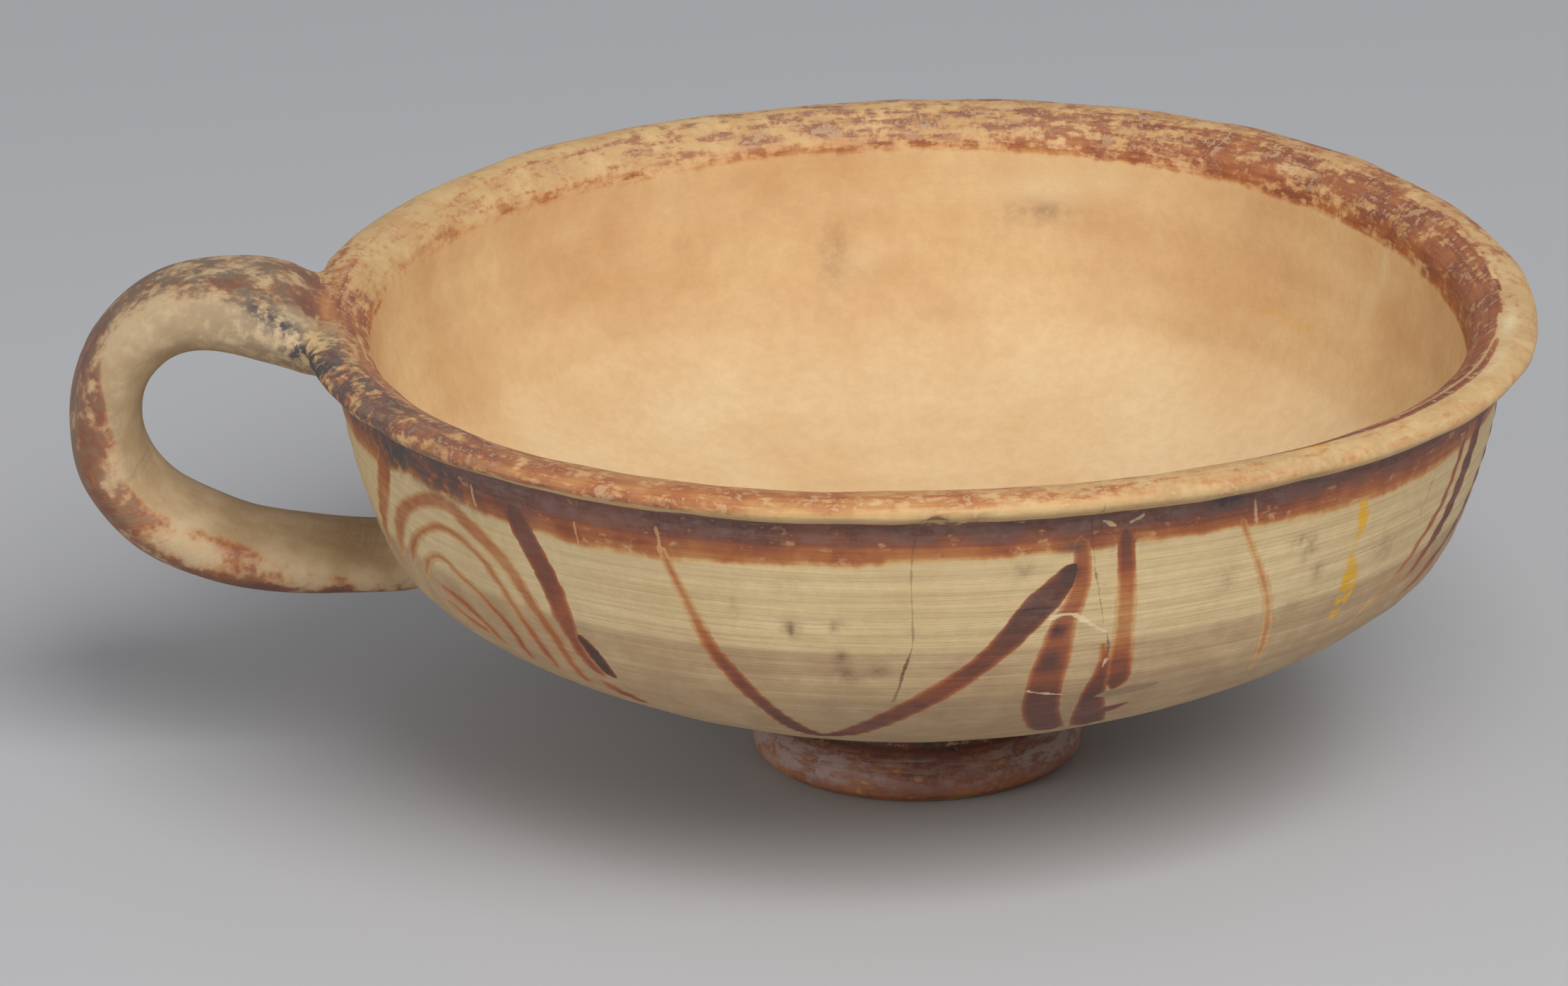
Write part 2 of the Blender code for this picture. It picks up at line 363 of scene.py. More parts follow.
def handle_line():
    """The strap's middle line, as distance from the axis and height, from the lip to the belly."""
    joint = settle(LIP_RADIUS, np.array([math.radians(HANDLE_AZIMUTH)]), LIP_HEIGHT)[0]
    start = place(math.hypot(joint[0], joint[1]), joint[2] - HANDLE_SINK)
    bend = place(LIP_RADIUS + HANDLE_REACH, HANDLE_BEND_HEIGHT)
    root = place(wall_middle_at(HANDLE_ROOT_HEIGHT), HANDLE_ROOT_HEIGHT)
    drop = place(0.0, start[1] - root[1])
    leaving = toward(HANDLE_RISE_ANGLE, (bend[0] - start[0]) * HANDLE_RISE_PULL)
    arriving = toward(HANDLE_ROOT_ANGLE, (bend[0] - root[0]) * HANDLE_ROOT_PULL)
    rise = curve(start, start + leaving, bend + drop * HANDLE_BEND_PULL_ABOVE, bend)
    fall = curve(bend, bend - drop * HANDLE_BEND_PULL_BELOW, root + arriving, root)
    return np.vstack((rise, fall[1:]))


def fading(share, reach):
    """One at the strap's end, falling smoothly to nothing at the given share of its length."""
    return np.maximum(0.0, 1.0 - share / reach) ** FADE_POWER


def oval(value):
    return np.sign(value) * np.abs(value) ** OVAL_POWER


strap_line = evenly(handle_line(), travelled(handle_line())[-1] / HANDLE_RINGS)
strap_share = np.linspace(0.0, 1.0, len(strap_line))
strap_along = np.gradient(strap_line, axis=0)
strap_along /= np.linalg.norm(strap_along, axis=1, keepdims=True)
upright = fading(strap_share, UPRIGHT_LENGTH)[:, None]
strap_along = strap_along * (1.0 - upright) + place(1.0, 0.0) * upright
strap_along /= np.linalg.norm(strap_along, axis=1, keepdims=True)
strap_outward = np.column_stack((-strap_along[:, 1], strap_along[:, 0]))


def pulled_strap():
    near_lip = fading(strap_share, SPREAD_AT_LIP)
    near_root = fading(1.0 - strap_share, TAPER_AT_ROOT)
    width, thickness = (
        usual + (at_lip - usual) * near_lip + (at_root - usual) * near_root
        for usual, at_lip, at_root in (
            (STRAP_WIDTH, STRAP_WIDTH_AT_LIP, STRAP_WIDTH_AT_ROOT),
            (STRAP_THICKNESS, STRAP_THICKNESS_AT_LIP, STRAP_THICKNESS_AT_ROOT),
        )
    )
    thickness *= 1.0 - TIP_ROUNDING * fading(strap_share, TIP_LENGTH)
    angle = np.arange(HANDLE_SIDES) * 2 * np.pi / HANDLE_SIDES
    across = width[:, None] / 2 * oval(np.cos(angle))
    depth = thickness[:, None] / 2 * oval(np.sin(angle))
    middle = strap_line[:, :1]
    round_mouth = middle - np.sqrt(np.maximum(middle**2 - across**2, 0.0))
    out = middle + strap_outward[:, :1] * depth - near_lip[:, None] * round_mouth
    up = strap_line[:, 1:] + strap_outward[:, 1:] * depth
    # The end in the belly follows the middle of the wall, so that it never shows inside
    out[-1] = np.sqrt(np.maximum(wall_middle_at(up[-1]) ** 2 - across[-1] ** 2, 0.0))
    heading = math.radians(HANDLE_AZIMUTH)
    points = np.stack((
        out * math.cos(heading) - across * math.sin(heading),
        out * math.sin(heading) + across * math.cos(heading),
        up,
    ), axis=-1).reshape(-1, 3)
    rings = np.arange(len(points)).reshape(-1, HANDLE_SIDES).tolist()
    faces = [tuple(reversed(rings[0])), tuple(rings[-1])]
    for lower, upper in zip(rings, rings[1:]):
        faces += between_rings(lower, upper)
    return points, faces


strap_points, strap_faces = pulled_strap()
strap = clay_piece("pulled_strap", strap_points, strap_faces)

# The joined cup: foot, bowl, lip and handle are one body of clay. The joints are wiped over with
# a wet finger, so the strap runs into the lip and the belly with a soft hollow.
JOINT_REACH = 3.4
WIPES = 34
WELD_GAP = 0.08
SEAM_GAP = 0.05


def joined(body, added):
    """The two pieces of clay as one closed skin, and the loose pieces thrown away."""
    for item in (body, added):
        faces_out = bmesh.new()
        faces_out.from_mesh(item.data)
        bmesh.ops.recalc_face_normals(faces_out, faces=faces_out.faces)
        faces_out.to_mesh(item.data)
        faces_out.free()
    union = body.modifiers.new("joined", "BOOLEAN")
    union.operation = "UNION"
    union.solver = "EXACT"
    union.object = added
    settled = bpy.context.evaluated_depsgraph_get()
    whole = bpy.data.meshes.new_from_object(body.evaluated_get(settled))
    trees = []
    for item in (body, added):
        corners = [vertex.co / MM for vertex in item.data.vertices]
        trees.append(BVHTree.FromPolygons(corners, [tuple(face.vertices) for face in item.data.polygons]))
        bpy.data.objects.remove(item)
    model = bmesh.new()
    model.from_mesh(whole)
    bmesh.ops.remove_doubles(model, verts=model.verts, dist=WELD_GAP * MM)
    bmesh.ops.triangulate(model, faces=[face for face in model.faces if len(face.verts) > 4])
    model.to_mesh(whole)
    model.free()
    return whole, trees


def numbers_of(items, name, size, kind=float):
    """One row of numbers for each of a mesh's points or edges."""
    flat = np.empty(len(items) * size, dtype=kind)
    items.foreach_get(name, flat)
    return flat.reshape(-1, size)


def distance_to(tree, points):
    return np.array([tree.find_nearest(Vector(point))[3] for point in points])


def tree_of(spots):
    """A search tree that finds the nearest of some spots."""
    tree = KDTree(len(spots))
    for number, spot in enumerate(spots):
        tree.insert(spot, number)
    tree.balance()
    return tree


def wiped(points, edges, weight, times):
    """Smooth the points towards their neighbours, by each point's own weight."""
    count = len(points)
    first = np.concatenate((edges[:, 0], edges[:, 1]))
    second = np.concatenate((edges[:, 1], edges[:, 0]))
    neighbours = np.bincount(first, minlength=count)[:, None]
    for _ in range(times):
        total = np.column_stack([
            np.bincount(first, weights=points[second, axis], minlength=count) for axis in range(3)
        ])
        points = points + 0.5 * weight[:, None] * (total / neighbours - points)
    return points


skin, (bowl_tree, strap_tree) = joined(bowl, strap)
points = numbers_of(skin.vertices, "co", 3) / MM
from_bowl = distance_to(bowl_tree, points)
from_strap = distance_to(strap_tree, points)
seam = np.flatnonzero((from_bowl < SEAM_GAP) & (from_strap < SEAM_GAP))
seam_tree = tree_of(points[seam])
from_seam = np.array([seam_tree.find(point)[2] for point in points])
skin_edges = numbers_of(skin.edges, "vertices", 2, np.int64)
points = wiped(points, skin_edges, np.clip(1.0 - from_seam / JOINT_REACH, 0.0, 1.0), WIPES)

# Places on the skin: each point's azimuth, how far down the outer wall it lies (less than nothing
# over the lip and inside), and on the handle how far along, across and out of the strap it lies.
OUTLINE_GAP = 0.1
outline = np.vstack((standing_face, foot_outline, wall, lip, shoulder, inside[::-1], floor_inside[::-1]))
outline = evenly(outline, OUTLINE_GAP)
outline_length = travelled(outline)
wall_top_length = outline_length[np.argmin(np.linalg.norm(outline - wall[-1], axis=1))]
outline_down = wall_top_length - outline_length
LIP_ROUND = travelled(lip)[-1] + np.linalg.norm(lip[0] - wall[-1])
INNER_TOP = -(LIP_ROUND + travelled(shoulder)[-1])
WALL_LENGTH = travelled(wall)[-1]


def nearest_on(line, places):
    """The number of the line's point that lies nearest to each place."""
    tree = tree_of([(*spot, 0.0) for spot in line])
    return np.array([tree.find((*spot, 0.0))[1] for spot in places])


def smooth_step(value, low, high):
    share = np.clip((value - low) / (high - low), 0.0, 1.0)
    return share * share * (3.0 - 2.0 * share)


radius, angle, height = unsettle(points)
down = outline_down[nearest_on(outline, np.column_stack((radius, height)))]
azimuth = np.degrees(angle) % 360.0
on_strap = smooth_step(from_bowl / (from_bowl + from_strap + 0.4), 0.15, 0.75)

heading = math.radians(HANDLE_AZIMUTH)
strap_out = points[:, 0] * math.cos(heading) + points[:, 1] * math.sin(heading)
strap_across = points[:, 1] * math.cos(heading) - points[:, 0] * math.sin(heading)
strap_side = np.column_stack((strap_out, points[:, 2]))
strap_spot = nearest_on(strap_line, strap_side)
strap_run = strap_share[strap_spot]
strap_lift = np.sum((strap_side - strap_line[strap_spot]) * strap_outward[strap_spot], axis=1)

# The skin's fine form: throwing rings, the lip's waver, a dried drop of slip inside, the marks of
# the string that cut the foot off the wheel, and the chips and pits that came later. Each point
# moves a little along its outward direction.
RING_SPACING_OUTSIDE = 2.3
RING_DEPTH_OUTSIDE = 0.05
RING_SPACING_INSIDE = 5.2
RING_DEPTH_INSIDE = 0.07
STRING_MARK_SPACING = 2.4
STRING_MARK_DEPTH = 0.10
STRING_MARK_CENTRE = (9.0, 27.0)
DRIFT_SIZE = 24.0
LUMP_SIZE = 7.0


def keep_points(mesh, corners):
    mesh.vertices.foreach_set("co", (corners * MM).ravel())
    mesh.update()


def waver(corners, size):
    """Smooth unevenness between about -1 and 1, in lumps of about the given size."""
    return np.array([noise.noise(Vector(corner / size)) for corner in corners]) * 1.6


def near_spot(spot_azimuth, spot_down, wide, tall):
    """One at a spot on the turned body, fading out over its own width and height."""
    round_way = apart(angle, math.radians(spot_azimuth)) * radius / wide
    return np.exp(-(round_way**2 + ((down - spot_down) / tall) ** 2))


def gathered(*spots):
    """The sum of several soft spots of azimuth, distance down, width, height and strength."""
    return sum(spot[4] * near_spot(*spot[:4]) for spot in spots)


inside_depth = INNER_TOP - down
on_body = 1.0 - on_strap
on_outside = smooth_step(down, 0.0, 3.0) * on_body * smooth_step(WALL_LENGTH - down, 0.0, 3.0)
on_inside = smooth_step(inside_depth, 0.0, 4.0)
on_lip = smooth_step(-down, 0.5, 2.5) * smooth_step(-inside_depth, 0.0, 2.0) * on_body
under_foot = smooth_step(FOOT_RADIUS - FOOT_BEVEL - radius, 0.4, 2.0) * (height < 0.5)
drift = waver(points, DRIFT_SIZE)
lumps = waver(points + 200.0, LUMP_SIZE)


def waves(run, spacing):
    """Between -1 and 1 along a distance, one wave in each spacing."""
    return np.sin(2 * np.pi * run / spacing)


relief = RING_DEPTH_OUTSIDE * on_outside * waves(down + 0.8 * drift, RING_SPACING_OUTSIDE)
relief += RING_DEPTH_INSIDE * on_inside * waves(inside_depth + 1.6 * drift, RING_SPACING_INSIDE)
string_run = np.hypot(points[:, 0] - STRING_MARK_CENTRE[0], points[:, 1] - STRING_MARK_CENTRE[1])
string_mark = waves(string_run + 0.5 * drift, STRING_MARK_SPACING)
relief -= under_foot * STRING_MARK_DEPTH * (1.0 + 0.5 * string_mark)

# How far the slow drift and the small lumps of hand work show on each part
for part, drift_depth, lump_depth in (
    (on_lip, 0.10, 0.13),
    (on_outside, 0.07, 0.05),
    (on_inside, 0.12, 0.05),
    (on_strap, 0.0, 0.16),
):
    relief += part * (drift_depth * drift + lump_depth * lumps)

# The dried drop on the inner wall, with thumb marks beside it
relief += gathered(
    (95.6, INNER_TOP - 12.3, 2.6, 1.5, 0.95), (98.8, INNER_TOP - 12.0, 1.3, 2.4, -0.45),
    (74.5, INNER_TOP - 6.0, 3.2, 1.6, -0.35),
)

# Chips and pits
relief -= gathered(
    (271.6, -2.4, 1.9, 1.3, 0.55), (274.8, -2.6, 2.0, 0.7, 0.35), (288.4, 0.9, 1.5, 1.1, 0.30),
    (291.4, 0.8, 0.9, 0.7, 0.30), (306.0, -3.1, 2.6, 1.0, 0.28), (322.0, -3.0, 3.4, 0.9, 0.22),
    (236.0, -3.2, 2.0, 0.9, 0.30), (249.0, -3.0, 3.0, 0.8, 0.26), (214.0, -4.2, 2.2, 1.2, 0.35),
    (204.0, -5.5, 2.6, 1.6, 0.38), (60.0, -4.4, 3.0, 1.2, 0.40), (118.0, -4.0, 2.2, 1.0, 0.35),
    (262.1, 11.5, 0.7, 0.7, 0.25), (258.0, 12.1, 0.7, 1.1, 0.22), (262.8, 16.9, 0.8, 0.8, 0.25),
    (266.1, 17.2, 0.8, 0.6, 0.20), (20.0, 12.0, 1.4, 1.0, 0.22), (112.0, 17.0, 1.6, 1.2, 0.25),
    (286.4, 14.6, 1.8, 2.2, 0.16), (299.4, -0.6, 1.4, 0.8, 0.30), (46.5, -10.0, 2.2, 1.2, 0.30),
)

# The raised edge where two fragments meet at the end of the swag: azimuth and distance down
fragment_edge = (
    (282.6, 11.1), (283.5, 10.7), (284.6, 10.6), (285.5, 11.1), (286.5, 11.9), (287.5, 12.8),
    (288.4, 13.3),
)
relief += gathered(*((*place_on_edge, 0.8, 0.5, 0.10) for place_on_edge in fragment_edge))

keep_points(skin, points)
points = points + numbers_of(skin.vertices, "normal", 3) * relief[:, None]
points = np.clip(points, np.array(cad_low) / MM, np.array(cad_high) / MM)
keep_points(skin, points)
skin.shade_smooth()

# The painted ornament: thin slips of iron-rich clay laid with a brush before firing. Nested arcs,
# a swag and bars hang from the band. Thin slip fires orange, thick slip red-brown, and the
# thickest nearly black.
OUT_OF_REACH = -6.0
SMOOTHING_PASSES = 10
STROKE_REACH = 6.0
STROKE_REACH_ROUND = 8.0
FALL_BEYOND_EDGE = 4.0
WASH, ORANGE, RED, DARK, BLACK = 0.14, 0.32, 0.56, 0.78, 0.97
TRUE_BEYOND_EDGE = 0.4


def keep_values(name, values):
    layer = skin.attributes.new(name, "FLOAT", "POINT")
    layer.data.foreach_set("value", np.asarray(values, dtype=np.float32))


def brush_line(knots):
    """A smooth line through a stroke's knots of azimuth, distance down, half width and slip."""
    knots = np.array(knots, dtype=float)
    padded = np.vstack((2 * knots[0] - knots[1], knots, 2 * knots[-1] - knots[-2]))
    run = []
    for before, start, end, after in zip(padded, padded[1:], padded[2:], padded[3:]):
        t = np.linspace(0.0, 1.0, 7)[:-1, None]
        run.append(0.5 * (
            2 * start + (end - before) * t + (2 * before - 5 * start + 4 * end - after) * t**2
            + (3 * start - before - 3 * end + after) * t**3
        ))
    line = np.vstack(run + [knots[-1:]])
    for _ in range(SMOOTHING_PASSES):
        line[1:-1] = (line[:-2] + 2 * line[1:-1] + line[2:]) / 4
    return line


class Strokes:
    """Brush strokes that don't touch each other, kept so that fine ones stay crisp.

    side is each point's distance to the left or right of the nearest stroke's middle, and half is
    that stroke's half width there, so the stroke shows where side is smaller than half.
    """

    def __init__(self):
        self.side = np.full(len(points), 3.0)
        self.half = np.full(len(points), OUT_OF_REACH)
        self.slip = np.full(len(points), RED)

    def lay(self, line):
        """Lay one stroke, on the points near it that lie deeper in it than in any before."""
        low, high = line.min(axis=0), line.max(axis=0)
        spread = math.radians((high[0] - low[0]) / 2 + STROKE_REACH_ROUND)
        near = (np.abs(apart(angle, math.radians((high[0] + low[0]) / 2))) < spread) & (on_strap < 0.9)
        near &= (down > low[1] - STROKE_REACH) & (down < high[1] + STROKE_REACH)
        picked = np.flatnonzero(near)
        gap = np.full(len(picked), np.inf)
        side, half, slip = np.zeros((3, len(picked)))
        for number, (start, end) in enumerate(zip(line, line[1:])):
            to_start = apart(math.radians(start[0]), angle[picked]) * radius[picked]
            along = apart(math.radians(end[0]), math.radians(start[0])) * radius[picked]
            fall_start = start[1] - down[picked]
            fall = end[1] - start[1]
            length = np.hypot(along, fall) + 1e-6
            share = -(to_start * along + fall_start * fall) / length**2
            held = np.clip(share, 0.0, 1.0)
            here = np.hypot(to_start + along * held, fall_start + fall * held)
            across = (to_start * fall - fall_start * along) / length
            better = here < gap
            beyond = np.zeros(len(picked))
            if number == 0:
                beyond = np.maximum(beyond, -share * length)
            if number == len(line) - 2:
                beyond = np.maximum(beyond, (share - 1.0) * length)
            gap[better] = here[better]
            side[better] = np.where(beyond > 0, across, np.copysign(here, across))[better]
            half[better] = (start[2] + (end[2] - start[2]) * held - beyond)[better]
            slip[better] = (start[3] + (end[3] - start[3]) * held)[better]
        half -= FALL_BEYOND_EDGE * np.maximum(0.0, np.abs(side) - half - TRUE_BEYOND_EDGE)
        wins = half - np.abs(side) > self.half[picked] - np.abs(self.side[picked])
        chosen = picked[wins]
        self.side[chosen] = side[wins]
        self.half[chosen] = np.maximum(half, OUT_OF_REACH)[wins]
        self.slip[chosen] = slip[wins]

    def keep(self, name):
        keep_values(name + "_side", self.side)
        keep_values(name + "_half", self.half)
        keep_values(name + "_slip", self.slip)


# Knots of each stroke: azimuth, distance down the wall, half width, thickness of the slip
nested_arcs = (
    ((208.4, 3.5, 1.6, RED), (206.3, 7.8, 1.7, ORANGE), (203.6, 10.9, 1.3, ORANGE),
     (201.5, 13.7, 1.0, ORANGE), (199.3, 17.1, 0.8, WASH)),
    ((204.4, 16.0, 1.0, WASH), (207.5, 11.9, 1.2, ORANGE), (209.6, 9.7, 1.2, ORANGE),
     (212.3, 7.7, 1.0, ORANGE), (215.3, 6.1, 0.9, ORANGE), (218.2, 5.1, 1.1, ORANGE),
     (221.1, 5.2, 1.2, ORANGE), (224.7, 7.3, 1.3, ORANGE), (227.8, 9.7, 1.2, ORANGE),
     (229.5, 13.9, 1.0, ORANGE), (231.5, 17.4, 0.9, 0.40), (232.3, 21.8, 0.8, 0.46),
     (231.6, 25.3, 0.7, 0.40)),
    ((207.5, 16.1, 0.8, WASH), (209.1, 14.3, 0.8, ORANGE), (211.1, 12.2, 0.7, ORANGE),
     (214.4, 9.9, 0.6, ORANGE), (216.9, 8.6, 0.6, ORANGE), (219.2, 8.1, 0.7, ORANGE),
     (222.1, 8.9, 0.7, ORANGE), (224.7, 10.6, 0.8, ORANGE), (226.7, 14.7, 0.8, ORANGE),
     (227.9, 17.5, 0.8, 0.40), (229.4, 21.0, 0.75, 0.48), (228.8, 23.3, 0.6, 0.40)),
    ((210.5, 16.8, 0.7, WASH), (211.8, 15.0, 0.7, ORANGE), (213.5, 13.5, 0.6, ORANGE),
     (215.4, 12.6, 0.6, ORANGE), (217.1, 12.5, 0.6, ORANGE), (219.1, 13.8, 0.7, ORANGE),
     (221.8, 15.1, 0.7, ORANGE), (224.1, 17.4, 0.7, 0.44), (225.6, 19.6, 0.7, 0.50),
     (225.1, 22.9, 0.6, 0.44)),
    ((213.8, 16.9, 0.6, 0.40), (215.8, 17.0, 0.6, 0.44), (219.3, 18.1, 0.7, 0.50),
     (221.6, 20.4, 0.7, 0.46), (221.9, 21.7, 0.6, 0.40)),
    ((214.0, 18.5, 0.5, ORANGE), (216.3, 19.4, 0.6, 0.44), (220.0, 20.4, 0.6, 0.46)),
)
arc_bar = (
    ((230.0, 3.0, 1.5, DARK), (231.3, 6.2, 1.5, DARK), (232.7, 9.6, 1.5, DARK),
     (233.4, 12.8, 1.4, RED), (233.5, 14.5, 1.4, RED), (233.8, 16.0, 1.1, RED),
     (234.0, 17.6, 0.8, RED), (234.6, 19.6, 0.8, RED), (235.5, 21.9, 0.7, RED)),
    ((234.9, 16.9, 0.7, BLACK), (235.8, 18.3, 0.8, BLACK), (236.5, 19.8, 0.9, BLACK),
     (237.0, 21.8, 0.7, BLACK)),
    ((234.7, 23.8, 0.9, ORANGE), (235.4, 26.6, 1.3, RED), (235.7, 29.5, 1.2, RED)),
)
swag = (
    ((246.0, 3.6, 0.5, ORANGE), (246.8, 5.9, 0.6, ORANGE), (248.0, 9.4, 0.75, ORANGE),
     (249.4, 14.0, 0.85, 0.42), (250.1, 15.9, 0.9, RED), (252.2, 19.4, 0.95, 0.70),
     (253.3, 21.6, 1.0, 0.70), (254.3, 24.4, 0.95, DARK), (254.9, 28.6, 1.1, DARK),
     (255.3, 33.4, 1.2, DARK), (256.2, 38.0, 1.2, DARK)),
    ((256.4, 38.4, 1.0, DARK), (259.2, 36.0, 1.2, DARK), (261.4, 33.8, 1.4, 0.72),
     (265.0, 27.9, 1.5, 0.70), (268.7, 23.1, 1.4, 0.70), (272.0, 19.9, 1.25, 0.70),
     (274.5, 17.9, 1.15, 0.72), (276.3, 16.1, 1.15, DARK), (278.1, 14.2, 1.3, DARK),
     (279.6, 12.3, 1.5, 0.90), (281.0, 10.1, 1.65, 0.92), (282.5, 8.3, 1.6, 0.92),
     (284.0, 6.6, 1.3, 0.92), (284.7, 5.4, 1.0, BLACK)),
)
bars = (
    ((285.3, 2.5, 0.9, RED), (285.5, 4.5, 1.0, 0.48), (285.5, 6.8, 1.1, 0.46),
     (285.1, 9.3, 1.1, 0.46), (284.2, 11.2, 1.25, 0.44), (283.9, 12.7, 1.45, 0.46),
     (283.5, 15.9, 1.8, 0.64), (282.9, 18.4, 1.85, 0.66), (282.8, 21.2, 1.9, DARK),
     (283.2, 25.2, 1.9, DARK), (285.8, 32.6, 1.8, DARK), (287.8, 36.5, 1.6, DARK)),
    ((289.6, 2.0, 0.95, DARK), (289.8, 4.9, 1.0, DARK), (290.0, 7.4, 1.1, 0.42),
     (290.2, 11.2, 1.15, ORANGE), (290.3, 13.6, 1.2, 0.26), (290.4, 16.9, 1.3, RED),
     (290.5, 19.5, 1.3, DARK), (290.4, 20.6, 1.2, DARK)),
    ((288.3, 14.9, 0.35, RED), (288.7, 16.6, 0.6, RED), (288.7, 18.7, 0.9, DARK),
     (288.2, 21.1, 1.2, DARK), (288.7, 24.4, 1.5, DARK), (290.0, 29.2, 1.8, DARK),
     (292.7, 35.8, 1.8, DARK)),
    ((290.2, 28.8, 1.6, DARK), (291.8, 27.8, 1.3, DARK), (293.2, 26.2, 0.7, DARK)),
)
thin_line = (
    ((301.4, 2.6, 0.40, RED), (302.1, 4.5, 0.45, 0.26), (303.8, 8.0, 0.55, 0.24),
     (305.0, 10.8, 0.6, 0.20), (306.2, 14.0, 0.65, 0.22), (306.8, 17.2, 0.7, 0.26),
     (306.8, 19.9, 0.6, 0.26), (307.2, 22.8, 0.4, WASH)),
)
side_lines = (
    ((333.8, 1.7, 0.6, DARK), (332.6, 5.3, 0.65, RED), (331.7, 8.2, 0.65, RED),
     (330.4, 10.9, 0.65, RED), (328.5, 12.9, 0.6, 0.46), (326.9, 15.1, 0.55, 0.46),
     (324.6, 16.6, 0.5, ORANGE), (321.4, 18.6, 0.4, WASH), (319.4, 20.7, 0.35, WASH)),
    ((337.6, 1.5, 1.3, DARK), (336.6, 3.7, 1.4, DARK), (335.8, 6.2, 1.4, DARK),
     (335.0, 8.7, 1.35, DARK), (334.0, 11.4, 1.25, DARK), (332.6, 13.7, 1.0, DARK),
     (330.6, 15.8, 0.8, RED), (327.6, 18.0, 0.5, ORANGE)),
    ((349.5, 1.5, 1.9, DARK), (347.8, 7.0, 1.9, DARK), (345.8, 10.1, 1.7, DARK),
     (343.4, 13.1, 1.4, DARK), (340.5, 15.5, 1.1, DARK), (337.0, 17.1, 0.9, RED),
     (332.6, 18.8, 0.7, RED), (327.8, 20.8, 0.45, ORANGE)),
)
rim_line = (
    ((193.0, -10.6, 0.35, RED), (215.0, -10.6, 0.4, RED), (250.0, -10.2, 0.4, RED),
     (285.0, -9.8, 0.4, RED), (301.0, -9.3, 0.5, DARK), (316.0, -8.3, 0.5, DARK),
     (333.0, -8.2, 0.5, DARK), (345.0, -8.6, 0.3, RED)),
)
first_brush = Strokes()
second_brush = Strokes()


def paint_strokes(group, turned=(1, 1, 1, 1), moved=(0, 0, 0, 0)):
    """Lay strokes with the first and the second brush in turn, so that none meets its own."""
    for number, knots in enumerate(group):
        brush = (first_brush, second_brush)[number % 2]
        brush.lay(brush_line(knots) * turned + moved)


for group in (nested_arcs, arc_bar, swag, bars[:1], bars[1:], thin_line, side_lines, rim_line):
    paint_strokes(group)

# The unseen half repeats the same motifs, more plainly: the arcs mirrored across the handle, and
# the swag and bars turned half way round
paint_strokes(nested_arcs[:4] + arc_bar[:1], (-1, 1, 1, 1), (2 * HANDLE_AZIMUTH, 0, 0, 0))
paint_strokes(swag + bars[:2], moved=(-180.0, 0, 0, 0))
first_brush.keep("first")
second_brush.keep("second")

# The painted grounds: the band under the lip, the lip itself, the foot and the handle's back. Time
# has rubbed them through to the stained clay, most where hands and lips touched, in flecks or,
# where soft, in clouds. Bloom and sheen is the lilac bloom on thick slip, together with painted
# sheen: a paler lilac on the foot's left and right and over the end of the swag. Soot is the
# black of the fire.
STRAP_CUT = 8.0
STRAP_EDGE_STRETCH = 0.09
LIP_FOOT = 2.4
paint = np.full(len(points), OUT_OF_REACH)
slip = np.full(len(points), DARK)
wear = np.full(len(points), 0.15)
soft = np.full(len(points), 0.2)
haze = np.zeros(len(points))
soot = np.zeros(len(points))
off_strap = STRAP_CUT * on_strap


def by_azimuth(*stops):
    """Values read from stops of azimuth and value, all the way round."""
    return np.interp(azimuth, *zip(*stops), period=360.0)


def by_run(*stops):
    """Values read from stops of the strap's run and value, from the lip to the belly."""
    return np.interp(strap_run, *zip(*stops))


def cover(depth, thickness, worn):
    """Paint a ground, where depth is how far inside its edge each point lies."""
    over = depth > paint
    paint[over] = depth[over]
    slip[over] = np.broadcast_to(thickness, depth.shape)[over]
    wear[over] = np.broadcast_to(worn, depth.shape)[over]


band_edge = by_azimuth(
    (40, 4.1), (90, 4.4), (130, 4.1), (170, 4.6), (190, 5.2), (200, 5.4), (208, 5.0), (213, 3.9),
    (217, 4.0), (224, 4.4), (236, 5.0), (247, 5.1), (257, 4.6), (270, 4.0), (283, 3.7), (293, 3.4),
    (301, 3.5), (309, 4.1), (318, 4.3), (330, 3.9), (339, 3.5), (0, 3.6),
)
band_depth = np.minimum(band_edge - down, down + 1.6)
band_share = np.clip(1.0 - (band_edge - down) / band_edge, 0.0, 1.0)
cover(band_depth - off_strap, 0.83 - 0.52 * band_share, 0.08)
haze += smooth_step(down, -1.2, -0.2) * smooth_step(band_share, 0.66, 0.26) * (down < 5.0)

# The lip: round_lip runs from its foot outside, over the top and down inside
round_lip = -down
outer_face_worn = by_azimuth(
    (0, 0.80), (20, 0.52), (60, 0.52), (100, 0.58), (125, 0.72), (145, 0.84), (160, 0.84),
    (172, 0.56), (182, 0.40), (195, 0.42), (212, 0.36), (230, 0.30), (250, 0.24), (262, 0.28),
    (274, 0.42), (284, 0.54), (292, 0.66), (305, 0.78), (322, 0.88), (345, 0.92),
)
outer_face_from = LIP_FOOT + by_azimuth((225, 1.0), (262, 1.7), (284, 2.3), (300, 1.7), (340, 1.0))
outer_face_depth = np.minimum(round_lip - outer_face_from, LIP_ROUND + 0.4 - round_lip)
lip_streaks = np.sin(round_lip * 2.2 + 3.0 * drift)
outer_face_slip = by_azimuth((200, 0.40), (236, 0.40), (258, 0.30), (300, 0.30), (330, 0.40))
cover(outer_face_depth - off_strap, outer_face_slip + 0.10 * lip_streaks, outer_face_worn)
inner_edge_worn = by_azimuth(
    (0, 0.16), (20, 0.26), (45, 0.42), (60, 0.40), (85, 0.50), (100, 0.54), (118, 0.60),
    (130, 0.64), (150, 0.72), (165, 0.80), (176, 0.55), (184, 0.34), (192, 0.42), (205, 0.40),
    (230, 0.36), (300, 0.30), (330, 0.20),
)
inner_edge_from = by_azimuth(
    (0, 6.9), (30, 7.4), (110, 8.2), (250, 8.8), (300, 9.0), (316, 8.2), (337, 8.1), (351, 8.0),
)
